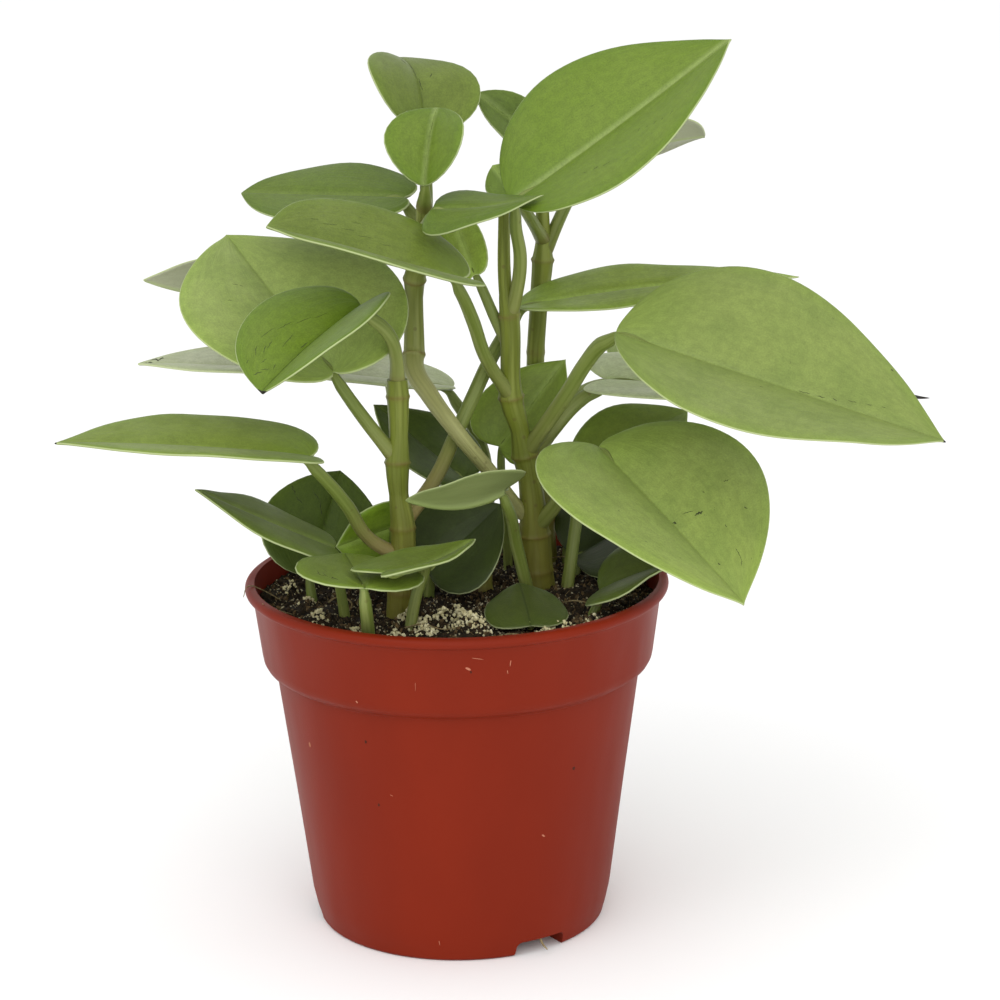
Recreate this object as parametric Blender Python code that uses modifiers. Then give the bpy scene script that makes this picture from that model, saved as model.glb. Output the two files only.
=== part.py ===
"""Potted peperomia: a leafy house plant growing in a 12 cm plastic nursery pot.

The pot stands on z = 0 with its axis on the Z axis. The plant is seen from -Y.
Every piece is one closed solid: the pot, the soil, the stems, and each leaf
with its stalk. Leaf stalks seat on their stem, or in a plain hole in the soil,
with a small gap.
"""

import math
from dataclasses import dataclass

import bmesh
import bpy
from mathutils import Matrix, Vector

MM = 0.001
GAP = 0.3 * MM

POT_SIDES = 60
POT_WALL = 1.2
POT_FLOOR = 1.2
RIM_RADIUS = 60.0
POT_HEIGHT = 100.0
COLLAR_HEIGHT = 24.0
BODY_TOP_RADIUS = 51.8
FOOT_RADIUS = 41.2

CHANNEL_HEIGHT = 4.3
CHANNEL_WIDTH = 17.0
CHANNEL_INNER_END = 14.0
CHANNEL_ANGLES = (-57.0, 63.0, 183.0)
DRAIN_HOLE_RADIUS = 4.0
DRAIN_HOLE_CENTRES = (20.0, 32.0)

SOIL_TOP = 92.5
SOIL_RINGS = 9
SOIL_BUMP = 1.1

BLADE_THICKNESS = 1.0
BLADE_ROWS = 8
BLADE_COLUMNS = 4
BLADE_SWELL = 0.05


@dataclass(frozen=True)
class Stem:
    """A stem: centre points and radii from its foot to its top, in mm."""

    name: str
    points: tuple
    seat: str = ""


@dataclass(frozen=True)
class Leaf:
    """A leaf: where its stalk starts, where its blade lies and how it is bent.

    start is the stalk's first point, on a stem's centre line or in the soil.
    base and tip are the two ends of the blade's midrib. roll turns the blade's
    face from straight up toward the viewer, and fold raises both halves.
    """

    name: str
    seat: str
    start: tuple
    base: tuple
    tip: tuple
    width: float
    roll: float
    fold: float = 20.0
    arch: float = 0.0
    notch: float = 0.08
    base_power: float = 0.5
    tip_power: float = 0.95
    via: tuple = ()
    stalk: float = 2.0


STEMS = (
    Stem("stem_left", (
        (-16, -18, 84, 3.8), (-16, -18, 97, 3.4), (-14.6, -18, 110, 3.4),
        (-14.5, -18, 121, 3.4), (-15.4, -17.5, 129, 2.7), (-15.6, -17, 138, 3.4),
        (-15.2, -16, 145, 2.6), (-15.2, -15, 157, 3.1), (-15.3, -15, 161, 2.8))),
    Stem("stem_middle", (
        (24, 12, 84, 6), (22.6, 12, 97, 5), (22.2, 12, 108, 4.7),
        (22, 11.5, 114, 3.9), (21, 11.2, 126, 3.3), (19.8, 11, 133, 3.9),
        (18.4, 10, 140, 2.7), (16, 9, 150, 3.5), (15.9, 8.5, 156, 2.8),
        (15.7, 7, 174, 2.9), (14.8, 7, 180, 1.9), (14.6, 6, 206, 1.6))),
    Stem("stem_back", (
        (26, 36, 84, 3.8), (24, 38, 128, 3.2), (23.2, 37.5, 150, 2.6),
        (24.3, 36.5, 170, 2.6), (25.6, 36, 184, 3.1), (25.7, 35.5, 189, 2.2),
        (25.5, 35, 206, 1.7))),
    Stem("stem_low", (
        (6, 3, 84, 4.4), (6, 7, 98, 4), (6, 9, 109, 3.2))),
    Stem("branch_left", (
        (19, 11, 115, 2), (14.2, 6, 122.8, 2), (9.1, 0, 131.5, 2.1),
        (4, -2.6, 138.5, 2.2), (-0.6, -2, 144.5, 2.3), (-6.8, 4, 151.9, 2.6),
        (-11.2, 9.5, 158.5, 2.9), (-11.2, 12.5, 163, 3), (-10.9, 13, 178, 2.5),
        (-10.6, 11.5, 184, 3.1), (-8.7, 8, 191, 2.6), (-7.8, 5, 200, 2.4),
        (-7.4, 1.5, 207, 2.1)), seat="stem_middle"),
)

LEAVES = (
    Leaf("leaf_top_right", "stem_middle", (15.7, 7, 173), (16.8, -10.3, 208.6),
         (76.7, -0.9, 251.1), 57, 26, fold=13, arch=-0.01, notch=0,
         base_power=0.57, tip_power=0.96, via=((17.4, 5.5, 179), (18.9, 1.5, 190))),
    Leaf("leaf_right_large", "stem_middle", (20, 11, 133), (44.5, -19.3, 174.2),
         (132.7, -35.3, 146.5), 71.4, 25, fold=16, notch=0, base_power=0.61,
         tip_power=1.03, via=((31.6, 0, 153), (36.6, -7, 163), (40.5, -13, 169.4)),
         stalk=2.3),
    Leaf("leaf_lower_right", "stem_middle", (22, 11.5, 111), (40.4, 3.7, 136.4),
         (77.4, -52.7, 106.6), 67.4, 4, fold=14, arch=0.01, notch=0.06,
         base_power=0.57, tip_power=1, via=((25.6, 9, 115), (31, 6, 123)),
         stalk=2.3),
    Leaf("leaf_left_broad", "stem_left", (-15.6, -17, 138.5),
         (-32.4, -20.1, 164.4), (-64.9, 32.8, 192.9), 64.9, 8, fold=12, notch=0.1,
         base_power=0.67, tip_power=1.01, via=((-24.5, -18, 150.8),)),
    Leaf("leaf_left_round", "stem_left", (-15.2, -15, 159), (-24, -27, 184),
         (-49, -60, 168), 41, -1, fold=22, arch=0.03, notch=0.09, base_power=0.49,
         tip_power=0.57, via=((-15.4, -17, 168), (-17.2, -20.5, 174.8))),
    Leaf("leaf_left_back", "branch_left", (-11, 13, 176), (-46.3, 46.2, 178.7),
         (-89.5, 36.6, 179.4), 33.7, -20, fold=32, arch=-0.11, notch=0.27,
         base_power=0.62, tip_power=0.85, via=((-22, 34, 174),), stalk=1.8),
    Leaf("leaf_left_flat", "soil", (6, 45, 85), (-1.6, 43.3, 144.7),
         (-92.4, 39, 154), 46.1, -1, fold=9, arch=0.01, notch=0.04,
         base_power=0.55, tip_power=0.77, via=((8, 44, 124),)),
    Leaf("leaf_lower_left", "stem_left", (-14.8, -18, 111), (-39.1, -32.1, 143.6),
         (-105.9, -43.9, 151.3), 45.5, 2, fold=10, arch=0.01, notch=0.09,
         base_power=0.59, tip_power=1.01,
         via=((-23.9, -20.5, 117.5), (-29.6, -24, 128))),
    Leaf("leaf_low_left_small", "soil", (-30, -18, 85), (-33.5, -19.5, 114.3),
         (-70.1, -32.9, 135.2), 25.9, 14, fold=0, arch=-0.01, notch=0.06,
         base_power=0.51, tip_power=0.93, stalk=1.6),
    Leaf("leaf_low_left_dark", "soil", (-39, -6, 85), (-41.7, -5, 102.3),
         (-33.2, 18, 126.8), 37, 24, fold=20, arch=0.05, stalk=1.7),
    Leaf("leaf_low_left_hidden", "stem_left", (-15.3, -18, 102),
         (-17.4, -5, 116.2), (-33.3, -16.2, 113.8), 19, 92, fold=11, arch=-0.01,
         notch=0.2, base_power=0.49, tip_power=0.88, stalk=1.5),
    Leaf("leaf_front_low", "soil", (-23.5, -33, 85), (-24, -49, 111.5),
         (-30.5, -26, 114.7), 36, -9, fold=5, notch=0.16, base_power=0.55,
         tip_power=1.06),
    Leaf("leaf_front_upper", "soil", (-14, -31, 85), (-18.6, -50.4, 116),
         (5.8, -32.5, 120.2), 24.7, -6, fold=15, arch=-0.07, notch=0.23,
         base_power=0.38, tip_power=0.86,
         via=((-11, -27, 102), (-8.3, -28.5, 111), (-9.6, -36.5, 115.2)),
         stalk=1.7),
    Leaf("leaf_centre_small", "soil", (22.5, -2, 85), (13.4, -20.5, 130.3),
         (-13.1, -33.2, 131.6), 23.7, -36, fold=25, arch=-0.12, notch=0.22,
         base_power=0.42, tip_power=0.77, via=((17.1, -8.5, 111),), stalk=1.9),
    Leaf("leaf_low_centre_dark", "soil", (-8, 2, 85), (-8, -3, 102),
         (13, 6, 119.5), 32, 35, fold=8, stalk=1.8),
    Leaf("leaf_centre_dark", "stem_low", (6, 9, 107), (2, 22, 123), (-24, 35, 142),
         32, 10, fold=8, via=((5, 16, 114),), stalk=1.8),
    Leaf("leaf_centre_back", "soil", (15, 28, 85), (12.4, 26.1, 131.2),
         (32, 32.4, 155.4), 27.4, 48, fold=13, arch=-0.02, notch=0.1,
         base_power=0.47, tip_power=0.98, via=((14, 28, 110),), stalk=1.4),
    Leaf("leaf_right_hidden", "stem_middle", (20.6, 11.2, 130), (44, 24, 151),
         (135.5, 18, 146), 42, 7, fold=6, notch=0.12, tip_power=1.25,
         via=((26.6, 15, 137.2), (36.2, 19, 146.8)), stalk=2.2),
    Leaf("leaf_right_dark", "soil", (30, 4, 85), (34.3, 12, 127),
         (67.7, 38, 138.2), 25, 30, fold=10, arch=0.02, notch=0.05, base_power=0.8,
         via=((33, 7, 106), (34.5, 9.5, 118)), stalk=1.9),
    Leaf("leaf_right_long", "stem_left", (-14.8, -18, 120.5), (18.5, 19.5, 173.5),
         (98.5, 25.1, 180.2), 31.5, 9, fold=6, arch=0.02, notch=0, tip_power=1.05,
         via=((-5.8, -6.5, 130), (0.6, 5, 141), (5.5, 10, 150.5), (10.2, 13.5, 159.7)),
         stalk=2.2),
    Leaf("leaf_top_left", "branch_left", (-10.6, 11.5, 184), (-7.2, 15.3, 223.8),
         (-15.7, 46.3, 241), 34.7, -13, fold=13, arch=0.16, notch=0.03,
         base_power=0.55, tip_power=0.93,
         via=((-8.7, 13.8, 192.5), (-7.2, 16.5, 203))),
    Leaf("leaf_top_small", "branch_left", (-7.4, 1, 206), (-7, -7.5, 213.1),
         (-3.5, 12.3, 231.5), 25.7, -2, fold=30, arch=0.09, notch=0.04,
         base_power=0.63, tip_power=0.91),
    Leaf("leaf_upper_left", "branch_left", (-8, 5.6, 198), (-13.2, 8.8, 207.2),
         (-59.2, 20.1, 206.9), 34.7, 20, fold=1, notch=0.1, base_power=0.63,
         tip_power=0.77),
    Leaf("leaf_left_folded", "stem_middle", (16.2, 9, 149.5), (1.7, -18.9, 189.6),
         (-48.1, -39.8, 208.2), 44.5, 15, fold=18, arch=-0.01, notch=0.14,
         base_power=0.66, tip_power=0.8, via=((9, 0, 163.5), (5.6, -8, 175.7))),
    Leaf("leaf_top_back", "stem_back", (25.5, 35, 204), (27.1, 37.2, 215),
         (6.9, 36.2, 232.1), 18.2, 50, fold=15, arch=0.02, notch=0.01,
         base_power=0.39, tip_power=0.72, stalk=1.5),
    Leaf("leaf_top_right_behind", "stem_back", (25.6, 36, 185),
         (36.4, 37.7, 209.1), (73.1, 50.8, 216.8), 36.5, -28, fold=5, arch=0.05,
         notch=0.07, base_power=0.6, tip_power=0.61),
    Leaf("leaf_top_inner", "stem_back", (25.7, 35.4, 190), (18.1, 13.4, 206.6),
         (11.5, 22, 213.8), 13, 38, fold=14, notch=0.02, base_power=0.65,
         tip_power=0.99, stalk=1.9),
    Leaf("leaf_top_centre", "branch_left", (-7.9, 5.3, 198.5), (-5, -9, 207),
         (25.3, -21.5, 212.6), 25, 17, fold=-5, arch=-0.04, notch=0.04,
         base_power=0.3, tip_power=1.35, stalk=1.7),
    Leaf("leaf_centre_behind", "stem_middle", (16, 8, 164), (6.2, 9.5, 185),
         (-1.2, 26, 203), 14, 45, fold=12, via=((12, 9, 172),), stalk=1.7),
    Leaf("leaf_low_right", "soil", (34.3, -19, 85), (40, -13, 99.1),
         (61.5, -24, 110.5), 31, 22, fold=12, arch=0.03, stalk=1.6),
    Leaf("leaf_front_young", "soil", (20.3, -20, 85), (20.5, -37.5, 96.8),
         (17.5, -14.5, 102), 23.5, 0, fold=-8, arch=0.03, notch=0.05,
         base_power=0.49, tip_power=0.8, via=((20.3, -25, 95.6),), stalk=1.4),
    Leaf("leaf_low_right_dark", "soil", (33, 20, 85), (34, 22, 99), (58, 28, 111),
         42, 18, fold=8, stalk=1.8),
    Leaf("leaf_back_left", "soil", (-17, 47, 85), (-24, 71, 158), (-66, 99, 155),
         47, -2, fold=12, arch=0.03, via=((-18, 58, 118), (-20, 66, 142)),
         stalk=1.9),
    Leaf("leaf_back_right", "stem_back", (24, 38, 128), (53, 63, 144),
         (100, 92, 136), 50, 3, fold=12, arch=0.02, via=((36, 49, 141),)),
    Leaf("leaf_back_low_right", "soil", (32, 33, 85), (48, 54, 111), (84, 82, 106),
         37, 6, fold=10, arch=0.03, via=((34, 37, 103),), stalk=1.7),
)


def clear_scene():
    """Remove every object that the file starts with."""
    for old in list(bpy.data.objects):
        bpy.data.objects.remove(old, do_unlink=True)


def make_collection(name):
    """Return a new collection linked to the scene."""
    collection = bpy.data.collections.new(name)
    bpy.context.scene.collection.children.link(collection)
    return collection


def make_material(name, colour, roughness):
    """Return a Principled BSDF material."""
    material = bpy.data.materials.new(name)
    material.use_nodes = True
    shader = material.node_tree.nodes["Principled BSDF"]
    shader.inputs["Base Color"].default_value = (*colour, 1.0)
    shader.inputs["Roughness"].default_value = roughness
    shader.inputs["Metallic"].default_value = 0.0
    return material


def add_object(name, mesh, collection, material=None):
    """Add a mesh or curve to a collection as an object."""
    thing = bpy.data.objects.new(name, mesh)
    collection.objects.link(thing)
    if material:
        mesh.materials.append(material)
    return thing


def hide_cutter(thing):
    """Keep a cutter out of the render and draw it as wire."""
    thing.hide_render = True
    thing.display_type = "WIRE"


def add_boolean(thing, operation, other):
    """Add a Boolean modifier that reads one object."""
    modifier = thing.modifiers.new(operation.title(), "BOOLEAN")
    modifier.operation = operation
    modifier.object = other


def tube_curve(name, points, sides_level, closed_ends=True):
    """Return a smooth tapered tube as a curve, from (x, y, z, radius) in mm."""
    curve = bpy.data.curves.new(name, "CURVE")
    curve.dimensions = "3D"
    curve.bevel_depth = MM
    curve.bevel_resolution = sides_level
    curve.resolution_u = 3
    curve.use_fill_caps = closed_ends
    spline = curve.splines.new("BEZIER")
    spline.bezier_points.add(len(points) - 1)
    for knot, (x, y, z, radius) in zip(spline.bezier_points, points):
        knot.co = Vector((x, y, z)) * MM
        knot.radius = radius
        knot.handle_left_type = "AUTO"
        knot.handle_right_type = "AUTO"
    return curve


def tube_mesh(name, points, sides_level, collection):
    """Return a tube as a closed mesh object, for Booleans."""
    curve = add_object(name + "_curve", tube_curve(name, points, sides_level), collection)
    bpy.context.view_layer.update()
    graph = bpy.context.evaluated_depsgraph_get()
    mesh = bpy.data.meshes.new_from_object(curve.evaluated_get(graph))
    weld(mesh)
    thing = add_object(name, mesh, collection)
    thing.matrix_world = curve.matrix_world
    bpy.data.objects.remove(curve)
    return thing


def weld(mesh):
    """Weld a converted curve's loose caps to its wall."""
    grid = bmesh.new()
    grid.from_mesh(mesh)
    bmesh.ops.remove_doubles(grid, verts=grid.verts, dist=0.01 * MM)
    bmesh.ops.recalc_face_normals(grid, faces=grid.faces)
    grid.to_mesh(mesh)
    grid.free()


def fattened(points, extra):
    """Return tube points with a larger radius, run on a little past both ends."""
    points = [list(point) for point in points]
    for end, inner in ((0, 1), (-1, -2)):
        out = Vector(points[end][:3]) - Vector(points[inner][:3])
        moved = Vector(points[end][:3]) + out.normalized() * extra
        points[end][:3] = moved
    return [(x, y, z, radius + extra) for x, y, z, radius in points]


def turned(name, profile, sides, collection, material=None):
    """Return a solid turned from an (r, z) profile in mm, outer side top to bottom."""
    mesh = bpy.data.meshes.new(name)
    points = [(radius * MM, 0.0, height * MM) for radius, height in profile]
    mesh.from_pydata(points, [(i, i + 1) for i in range(len(points) - 1)], [])
    thing = add_object(name, mesh, collection, material)
    screw = thing.modifiers.new("Screw", "SCREW")
    screw.axis = "Z"
    screw.steps = sides
    screw.render_steps = sides
    screw.use_merge_vertices = True
    screw.merge_threshold = 0.01 * MM
    return thing


def body_radius(height):
    """Return the pot body's outer radius at a height, in mm."""
    slope = (BODY_TOP_RADIUS - FOOT_RADIUS) / (POT_HEIGHT - COLLAR_HEIGHT)
    return FOOT_RADIUS + slope * height


def outer_profile():
    """Return the pot's outer profile from the top's centre to the floor's."""
    step = POT_HEIGHT - COLLAR_HEIGHT
    return [
        (0.0, POT_HEIGHT),
        (RIM_RADIUS - 2.4, POT_HEIGHT),
        (RIM_RADIUS - 1.1, POT_HEIGHT - 0.3),
        (RIM_RADIUS - 0.2, POT_HEIGHT - 1.1),
        (RIM_RADIUS, POT_HEIGHT - 2.1),
        (RIM_RADIUS - 0.5, POT_HEIGHT - 3.3),
        (RIM_RADIUS - 1.9, POT_HEIGHT - 4.0),
        (RIM_RADIUS - 2.3, POT_HEIGHT - 5.2),
        (RIM_RADIUS - 4.5, step + 3.0),
        (RIM_RADIUS - 5.2, step + 1.0),
        (RIM_RADIUS - 6.4, step + 0.1),
        (BODY_TOP_RADIUS, step - 0.6),
        (body_radius(40.0) + 0.3, 40.0),
        (body_radius(9.0) + 0.6, 9.0),
        (body_radius(3.0), 3.0),
        (FOOT_RADIUS - 0.2, 1.0),
        (FOOT_RADIUS - 1.3, 0.0),
        (0.0, 0.0),
    ]


def inner_profile(inset, top):
    """Return the profile of the space inside the pot, inset from its wall."""
    step = POT_HEIGHT - COLLAR_HEIGHT
    wall = POT_WALL + inset
    collar_top = RIM_RADIUS - 2.3 - wall
    collar_low = RIM_RADIUS - 5.2 - wall
    slope = (collar_top - collar_low) / (COLLAR_HEIGHT - 6.0)
    return [
        (0.0, top),
        (collar_low + slope * (top - step - 1.0), top),
        (collar_low, step + 1.0),
        (BODY_TOP_RADIUS - wall, step - 1.6),
        (body_radius(9.0) + 0.6 - wall, 9.0),
        (FOOT_RADIUS - 0.4 - wall, POT_FLOOR + inset + 1.5),
        (FOOT_RADIUS - 1.6 - wall, POT_FLOOR + inset),
        (0.0, POT_FLOOR + inset),
    ]


def drain_channel(name, angle, grow, collection):
    """Return a raised drain channel's block, running out under the wall."""
    mesh = bpy.data.meshes.new(name)
    block = bmesh.new()
    bmesh.ops.create_cube(block, size=1.0)
    reach = FOOT_RADIUS + 10.0
    length = reach - CHANNEL_INNER_END + grow
    height = CHANNEL_HEIGHT + grow + 5.0
    width = CHANNEL_WIDTH + 2.0 * grow
    for vert in block.verts:
        narrowing = 0.82 if vert.co.z > 0.0 else 1.0
        vert.co.x = (vert.co.x + 0.5) * length + CHANNEL_INNER_END - grow
        vert.co.y *= width * narrowing
        vert.co.z = (vert.co.z + 0.5) * height - 5.0
    block.transform(Matrix.Rotation(math.radians(angle), 4, "Z") @ Matrix.Scale(MM, 4))
    block.to_mesh(mesh)
    block.free()
    thing = add_object(name, mesh, collection)
    hide_cutter(thing)
    return thing


def drain_hole(name, angle, distance, collection):
    """Return a round cutter for one drain hole in a channel's roof."""
    mesh = bpy.data.meshes.new(name)
    pin = bmesh.new()
    bmesh.ops.create_cone(pin, cap_ends=True, segments=16, radius1=DRAIN_HOLE_RADIUS,
                          radius2=DRAIN_HOLE_RADIUS, depth=8.0)
    place = Matrix.Rotation(math.radians(angle), 4, "Z")
    place = place @ Matrix.Translation((distance, 0.0, CHANNEL_HEIGHT))
    pin.transform(Matrix.Scale(MM, 4) @ place)
    pin.to_mesh(mesh)
    pin.free()
    thing = add_object(name, mesh, collection)
    hide_cutter(thing)
    return thing


def build_pot(parts, cutters, material):
    """Build the pot: a turned shell with three drain channels in its floor."""
    pot = turned("pot", outer_profile(), POT_SIDES, parts, material)
    cavity = turned("pot_cavity", inner_profile(0.0, POT_HEIGHT + 2.0), POT_SIDES, cutters)
    hide_cutter(cavity)
    for number, angle in enumerate(CHANNEL_ANGLES, start=1):
        ridge = drain_channel(f"ridge_{number}", angle, POT_WALL, cutters)
        add_boolean(cavity, "DIFFERENCE", ridge)
    add_boolean(pot, "DIFFERENCE", cavity)
    for number, angle in enumerate(CHANNEL_ANGLES, start=1):
        channel = drain_channel(f"channel_{number}", angle, 0.0, cutters)
        add_boolean(pot, "DIFFERENCE", channel)
        for place, distance in enumerate(DRAIN_HOLE_CENTRES, start=1):
            hole = drain_hole(f"drain_{number}_{place}", angle, distance, cutters)
            add_boolean(pot, "DIFFERENCE", hole)
    return pot


def soil_height(x, y):
    """Return the soil surface's height at a place, in mm: soft uneven mounds."""
    waves = math.sin(0.21 * x + 0.4) * math.cos(0.17 * y - 0.9)
    ripples = 0.5 * math.sin(0.47 * x - 0.31 * y + 1.3)
    return SOIL_TOP + SOIL_BUMP * (waves + ripples)


def build_soil(parts, cutters, material):
    """Build the soil: it fills the pot up to its uneven top."""
    profile = inner_profile(GAP / MM, SOIL_TOP)
    rim = profile[1][0]
    rings = [(rim * ring / SOIL_RINGS, SOIL_TOP) for ring in range(SOIL_RINGS)]
    soil = turned("soil", rings + profile[1:], POT_SIDES // 2, parts, material)
    for number, angle in enumerate(CHANNEL_ANGLES, start=1):
        ridge = drain_channel(f"soil_ridge_{number}", angle, POT_WALL + GAP / MM, cutters)
        add_boolean(soil, "DIFFERENCE", ridge)
    bpy.context.view_layer.update()
    graph = bpy.context.evaluated_depsgraph_get()
    mesh = bpy.data.meshes.new_from_object(soil.evaluated_get(graph))
    for vert in mesh.vertices:
        if abs(vert.co.z - SOIL_TOP * MM) < 0.1 * MM:
            vert.co.z = soil_height(vert.co.x / MM, vert.co.y / MM) * MM
    soil.modifiers.clear()
    soil.data = mesh
    return soil


def outline(leaf, along):
    """Half width of a leaf's outline, as a share of its most, at a place along it."""
    full, taper = leaf.base_power, leaf.tip_power
    peak = full / (full + taper)
    most = peak ** full * (1.0 - peak) ** taper
    return along ** full * (1.0 - along) ** taper / most


def blade_point(leaf, length, along, across):
    """Return one point of a blade's middle surface in its own axes, in mm."""
    half = 0.5 * leaf.width * outline(leaf, along)
    fold = math.radians(leaf.fold)
    lobe = leaf.notch * across * across * 4.0 * along ** 0.4 * (1.0 - along) ** 4
    rise = leaf.arch * 4.0 * along * (1.0 - along)
    swell = BLADE_SWELL * 4.0 * abs(across) * (1.0 - abs(across))
    return Vector((
        length * (along - lobe),
        across * half * math.cos(fold),
        length * rise + abs(across) * half * math.sin(fold) + swell * half,
    ))


def leaf_axes(leaf):
    """Return a blade's own axes: along the midrib, across it and out of its face."""
    along = (Vector(leaf.tip) - Vector(leaf.base)).normalized()
    up = Vector((0.0, 0.0, 1.0))
    face = (up - along * up.dot(along)).normalized()
    side = face.cross(along)
    if side.y > 0.0:
        side = -side
    roll = math.radians(leaf.roll)
    face = face * math.cos(roll) + side * math.sin(roll)
    return along, face.cross(along), face


def blade_frame(leaf):
    """Return the matrix that puts a blade's own axes in place."""
    along, across, face = leaf_axes(leaf)
    turn = Matrix((along, across, face)).transposed().to_4x4()
    return Matrix.Translation(leaf.base) @ turn


def blade_surface(leaf):
    """Return a blade's middle surface as a triangulated grid between two points."""
    length = (Vector(leaf.tip) - Vector(leaf.base)).length
    grid = bmesh.new()
    rows = []
    for row in range(BLADE_ROWS + 1):
        along = 0.5 - 0.5 * math.cos(math.pi * row / BLADE_ROWS)
        columns = range(BLADE_COLUMNS + 1)
        if row in (0, BLADE_ROWS):
            columns = (BLADE_COLUMNS // 2,)
        acrosses = [2.0 * column / BLADE_COLUMNS - 1.0 for column in columns]
        rows.append([grid.verts.new(blade_point(leaf, length, along, across))
                     for across in acrosses])
    for near, far in zip(rows, rows[1:]):
        for column in range(BLADE_COLUMNS):
            corners = [near[min(column, len(near) - 1)], near[min(column + 1, len(near) - 1)],
                       far[min(column + 1, len(far) - 1)], far[min(column, len(far) - 1)]]
            grid.faces.new(list(dict.fromkeys(corners)))
    bmesh.ops.triangulate(grid, faces=grid.faces)
    grid.transform(Matrix.Scale(MM, 4) @ blade_frame(leaf))
    return grid


def stalk_points(leaf):
    """Return the stalk's points and radii, from its seat to under the blade."""
    along, _, face = leaf_axes(leaf)
    end = Vector(leaf.base) + along * 1.5 - face * 0.5
    last = Vector(leaf.via[-1] if leaf.via else leaf.start)
    before = Vector(leaf.base) + (last - Vector(leaf.base)).normalized() * 4.0 - face * 0.9
    points = [(*leaf.start, leaf.stalk)]
    points += [(*point, leaf.stalk * 0.95) for point in leaf.via]
    points += [(*before, leaf.stalk * 0.85), (*end, leaf.stalk * 0.5)]
    return points


def build_leaf(leaf, parts, cutters, seats, material):
    """Build one leaf: a thin folded blade joined to its stalk."""
    mesh = bpy.data.meshes.new(leaf.name)
    surface = blade_surface(leaf)
    surface.to_mesh(mesh)
    surface.free()
    blade = add_object(leaf.name, mesh, parts, material)
    solidify = blade.modifiers.new("Solidify", "SOLIDIFY")
    solidify.thickness = BLADE_THICKNESS * MM
    solidify.offset = 0.0
    stalk = tube_mesh(leaf.name + "_stalk", stalk_points(leaf), 1, cutters)
    hide_cutter(stalk)
    add_boolean(blade, "UNION", stalk)
    if leaf.seat in seats:
        add_boolean(blade, "DIFFERENCE", seats[leaf.seat])
    return blade


def build_stem(stem, parts, cutters, seats, material):
    """Build one stem and the fattened copy that its leaves are cut back by."""
    if stem.seat:
        thing = tube_mesh(stem.name, stem.points, 2, parts)
        thing.data.materials.append(material)
        add_boolean(thing, "DIFFERENCE", seats[stem.seat])
    else:
        thing = add_object(stem.name, tube_curve(stem.name, stem.points, 2), parts, material)
    seat = tube_mesh(stem.name + "_seat", fattened(stem.points, GAP / MM), 2, cutters)
    hide_cutter(seat)
    seats[stem.name] = seat
    return thing


def build_soil_holes(soil, cutters, seats):
    """Cut a plain hole in the soil for each stem and stalk that stands in it."""
    for stem in STEMS:
        if not stem.seat:
            add_boolean(soil, "DIFFERENCE", seats[stem.name])
    for leaf in LEAVES:
        if leaf.seat == "soil":
            points = fattened(stalk_points(leaf), GAP / MM)
            hole = tube_mesh(leaf.name + "_hole", points, 1, cutters)
            hide_cutter(hole)
            add_boolean(soil, "DIFFERENCE", hole)


def main():
    """Build the whole potted plant."""
    clear_scene()
    parts = make_collection("potted_peperomia")
    cutters = make_collection("cutters")
    terracotta = make_material("terracotta_plastic", (0.27, 0.036, 0.017), 0.45)
    earth = make_material("potting_soil", (0.02, 0.014, 0.01), 1.0)
    bark = make_material("stem_olive", (0.16, 0.18, 0.035), 0.5)
    green = make_material("leaf_green", (0.16, 0.27, 0.06), 0.5)

    build_pot(parts, cutters, terracotta)
    soil = build_soil(parts, cutters, earth)
    seats = {}
    for stem in STEMS:
        build_stem(stem, parts, cutters, seats, bark)
    for leaf in LEAVES:
        build_leaf(leaf, parts, cutters, seats, green)
    build_soil_holes(soil, cutters, seats)
    bpy.context.view_layer.update()


if __name__ == "__main__":
    main()
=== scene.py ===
"""The looks of a potted peperomia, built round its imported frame.

The frame holds the plant's plain solids at their real size and place. This script
puts finer leaves, stems, soil and a finer pot in their place, gives each its own
procedural finish, and sets up a pale studio with a camera at the photo's angle.

Lengths are in millimetres until a mesh is made, +Z is up, and the plant is seen
from -Y.
"""

import logging
import math
from dataclasses import dataclass, field
from enum import Enum
from typing import Any, Iterable, Sequence

import bmesh
import bpy
from mathutils import Matrix, Vector, noise
from mathutils.geometry import interpolate_bezier

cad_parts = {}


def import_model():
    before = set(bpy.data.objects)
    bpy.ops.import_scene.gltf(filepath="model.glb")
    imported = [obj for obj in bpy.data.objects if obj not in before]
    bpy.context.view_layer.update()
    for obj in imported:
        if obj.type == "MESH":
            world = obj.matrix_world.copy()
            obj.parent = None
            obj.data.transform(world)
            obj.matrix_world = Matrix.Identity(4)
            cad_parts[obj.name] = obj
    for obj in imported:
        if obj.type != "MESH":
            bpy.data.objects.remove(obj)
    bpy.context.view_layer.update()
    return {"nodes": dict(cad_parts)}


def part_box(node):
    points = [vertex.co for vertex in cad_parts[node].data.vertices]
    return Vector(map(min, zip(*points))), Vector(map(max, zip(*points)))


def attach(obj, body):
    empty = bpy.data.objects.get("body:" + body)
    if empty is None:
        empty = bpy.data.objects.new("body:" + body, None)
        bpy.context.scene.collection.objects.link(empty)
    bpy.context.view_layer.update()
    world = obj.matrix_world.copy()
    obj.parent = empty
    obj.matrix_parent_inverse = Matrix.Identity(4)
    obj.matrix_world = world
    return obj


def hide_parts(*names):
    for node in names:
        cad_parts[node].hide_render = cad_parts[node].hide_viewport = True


log = logging.getLogger("potted_peperomia")

MM = 0.001
BODY = "root"

Point = tuple[float, float, float]
Knot = tuple[float, float, float, float]
Colour = tuple[float, float, float]


def display(red: float, green: float, blue: float) -> Colour:
    """Turn a colour as seen on a display, 0 to 255, into the linear one shaders use."""
    shares = [level / 255.0 for level in (red, green, blue)]
    return tuple(share / 12.92 if share <= 0.04045 else ((share + 0.055) / 1.055) ** 2.4 for share in shares)


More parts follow.
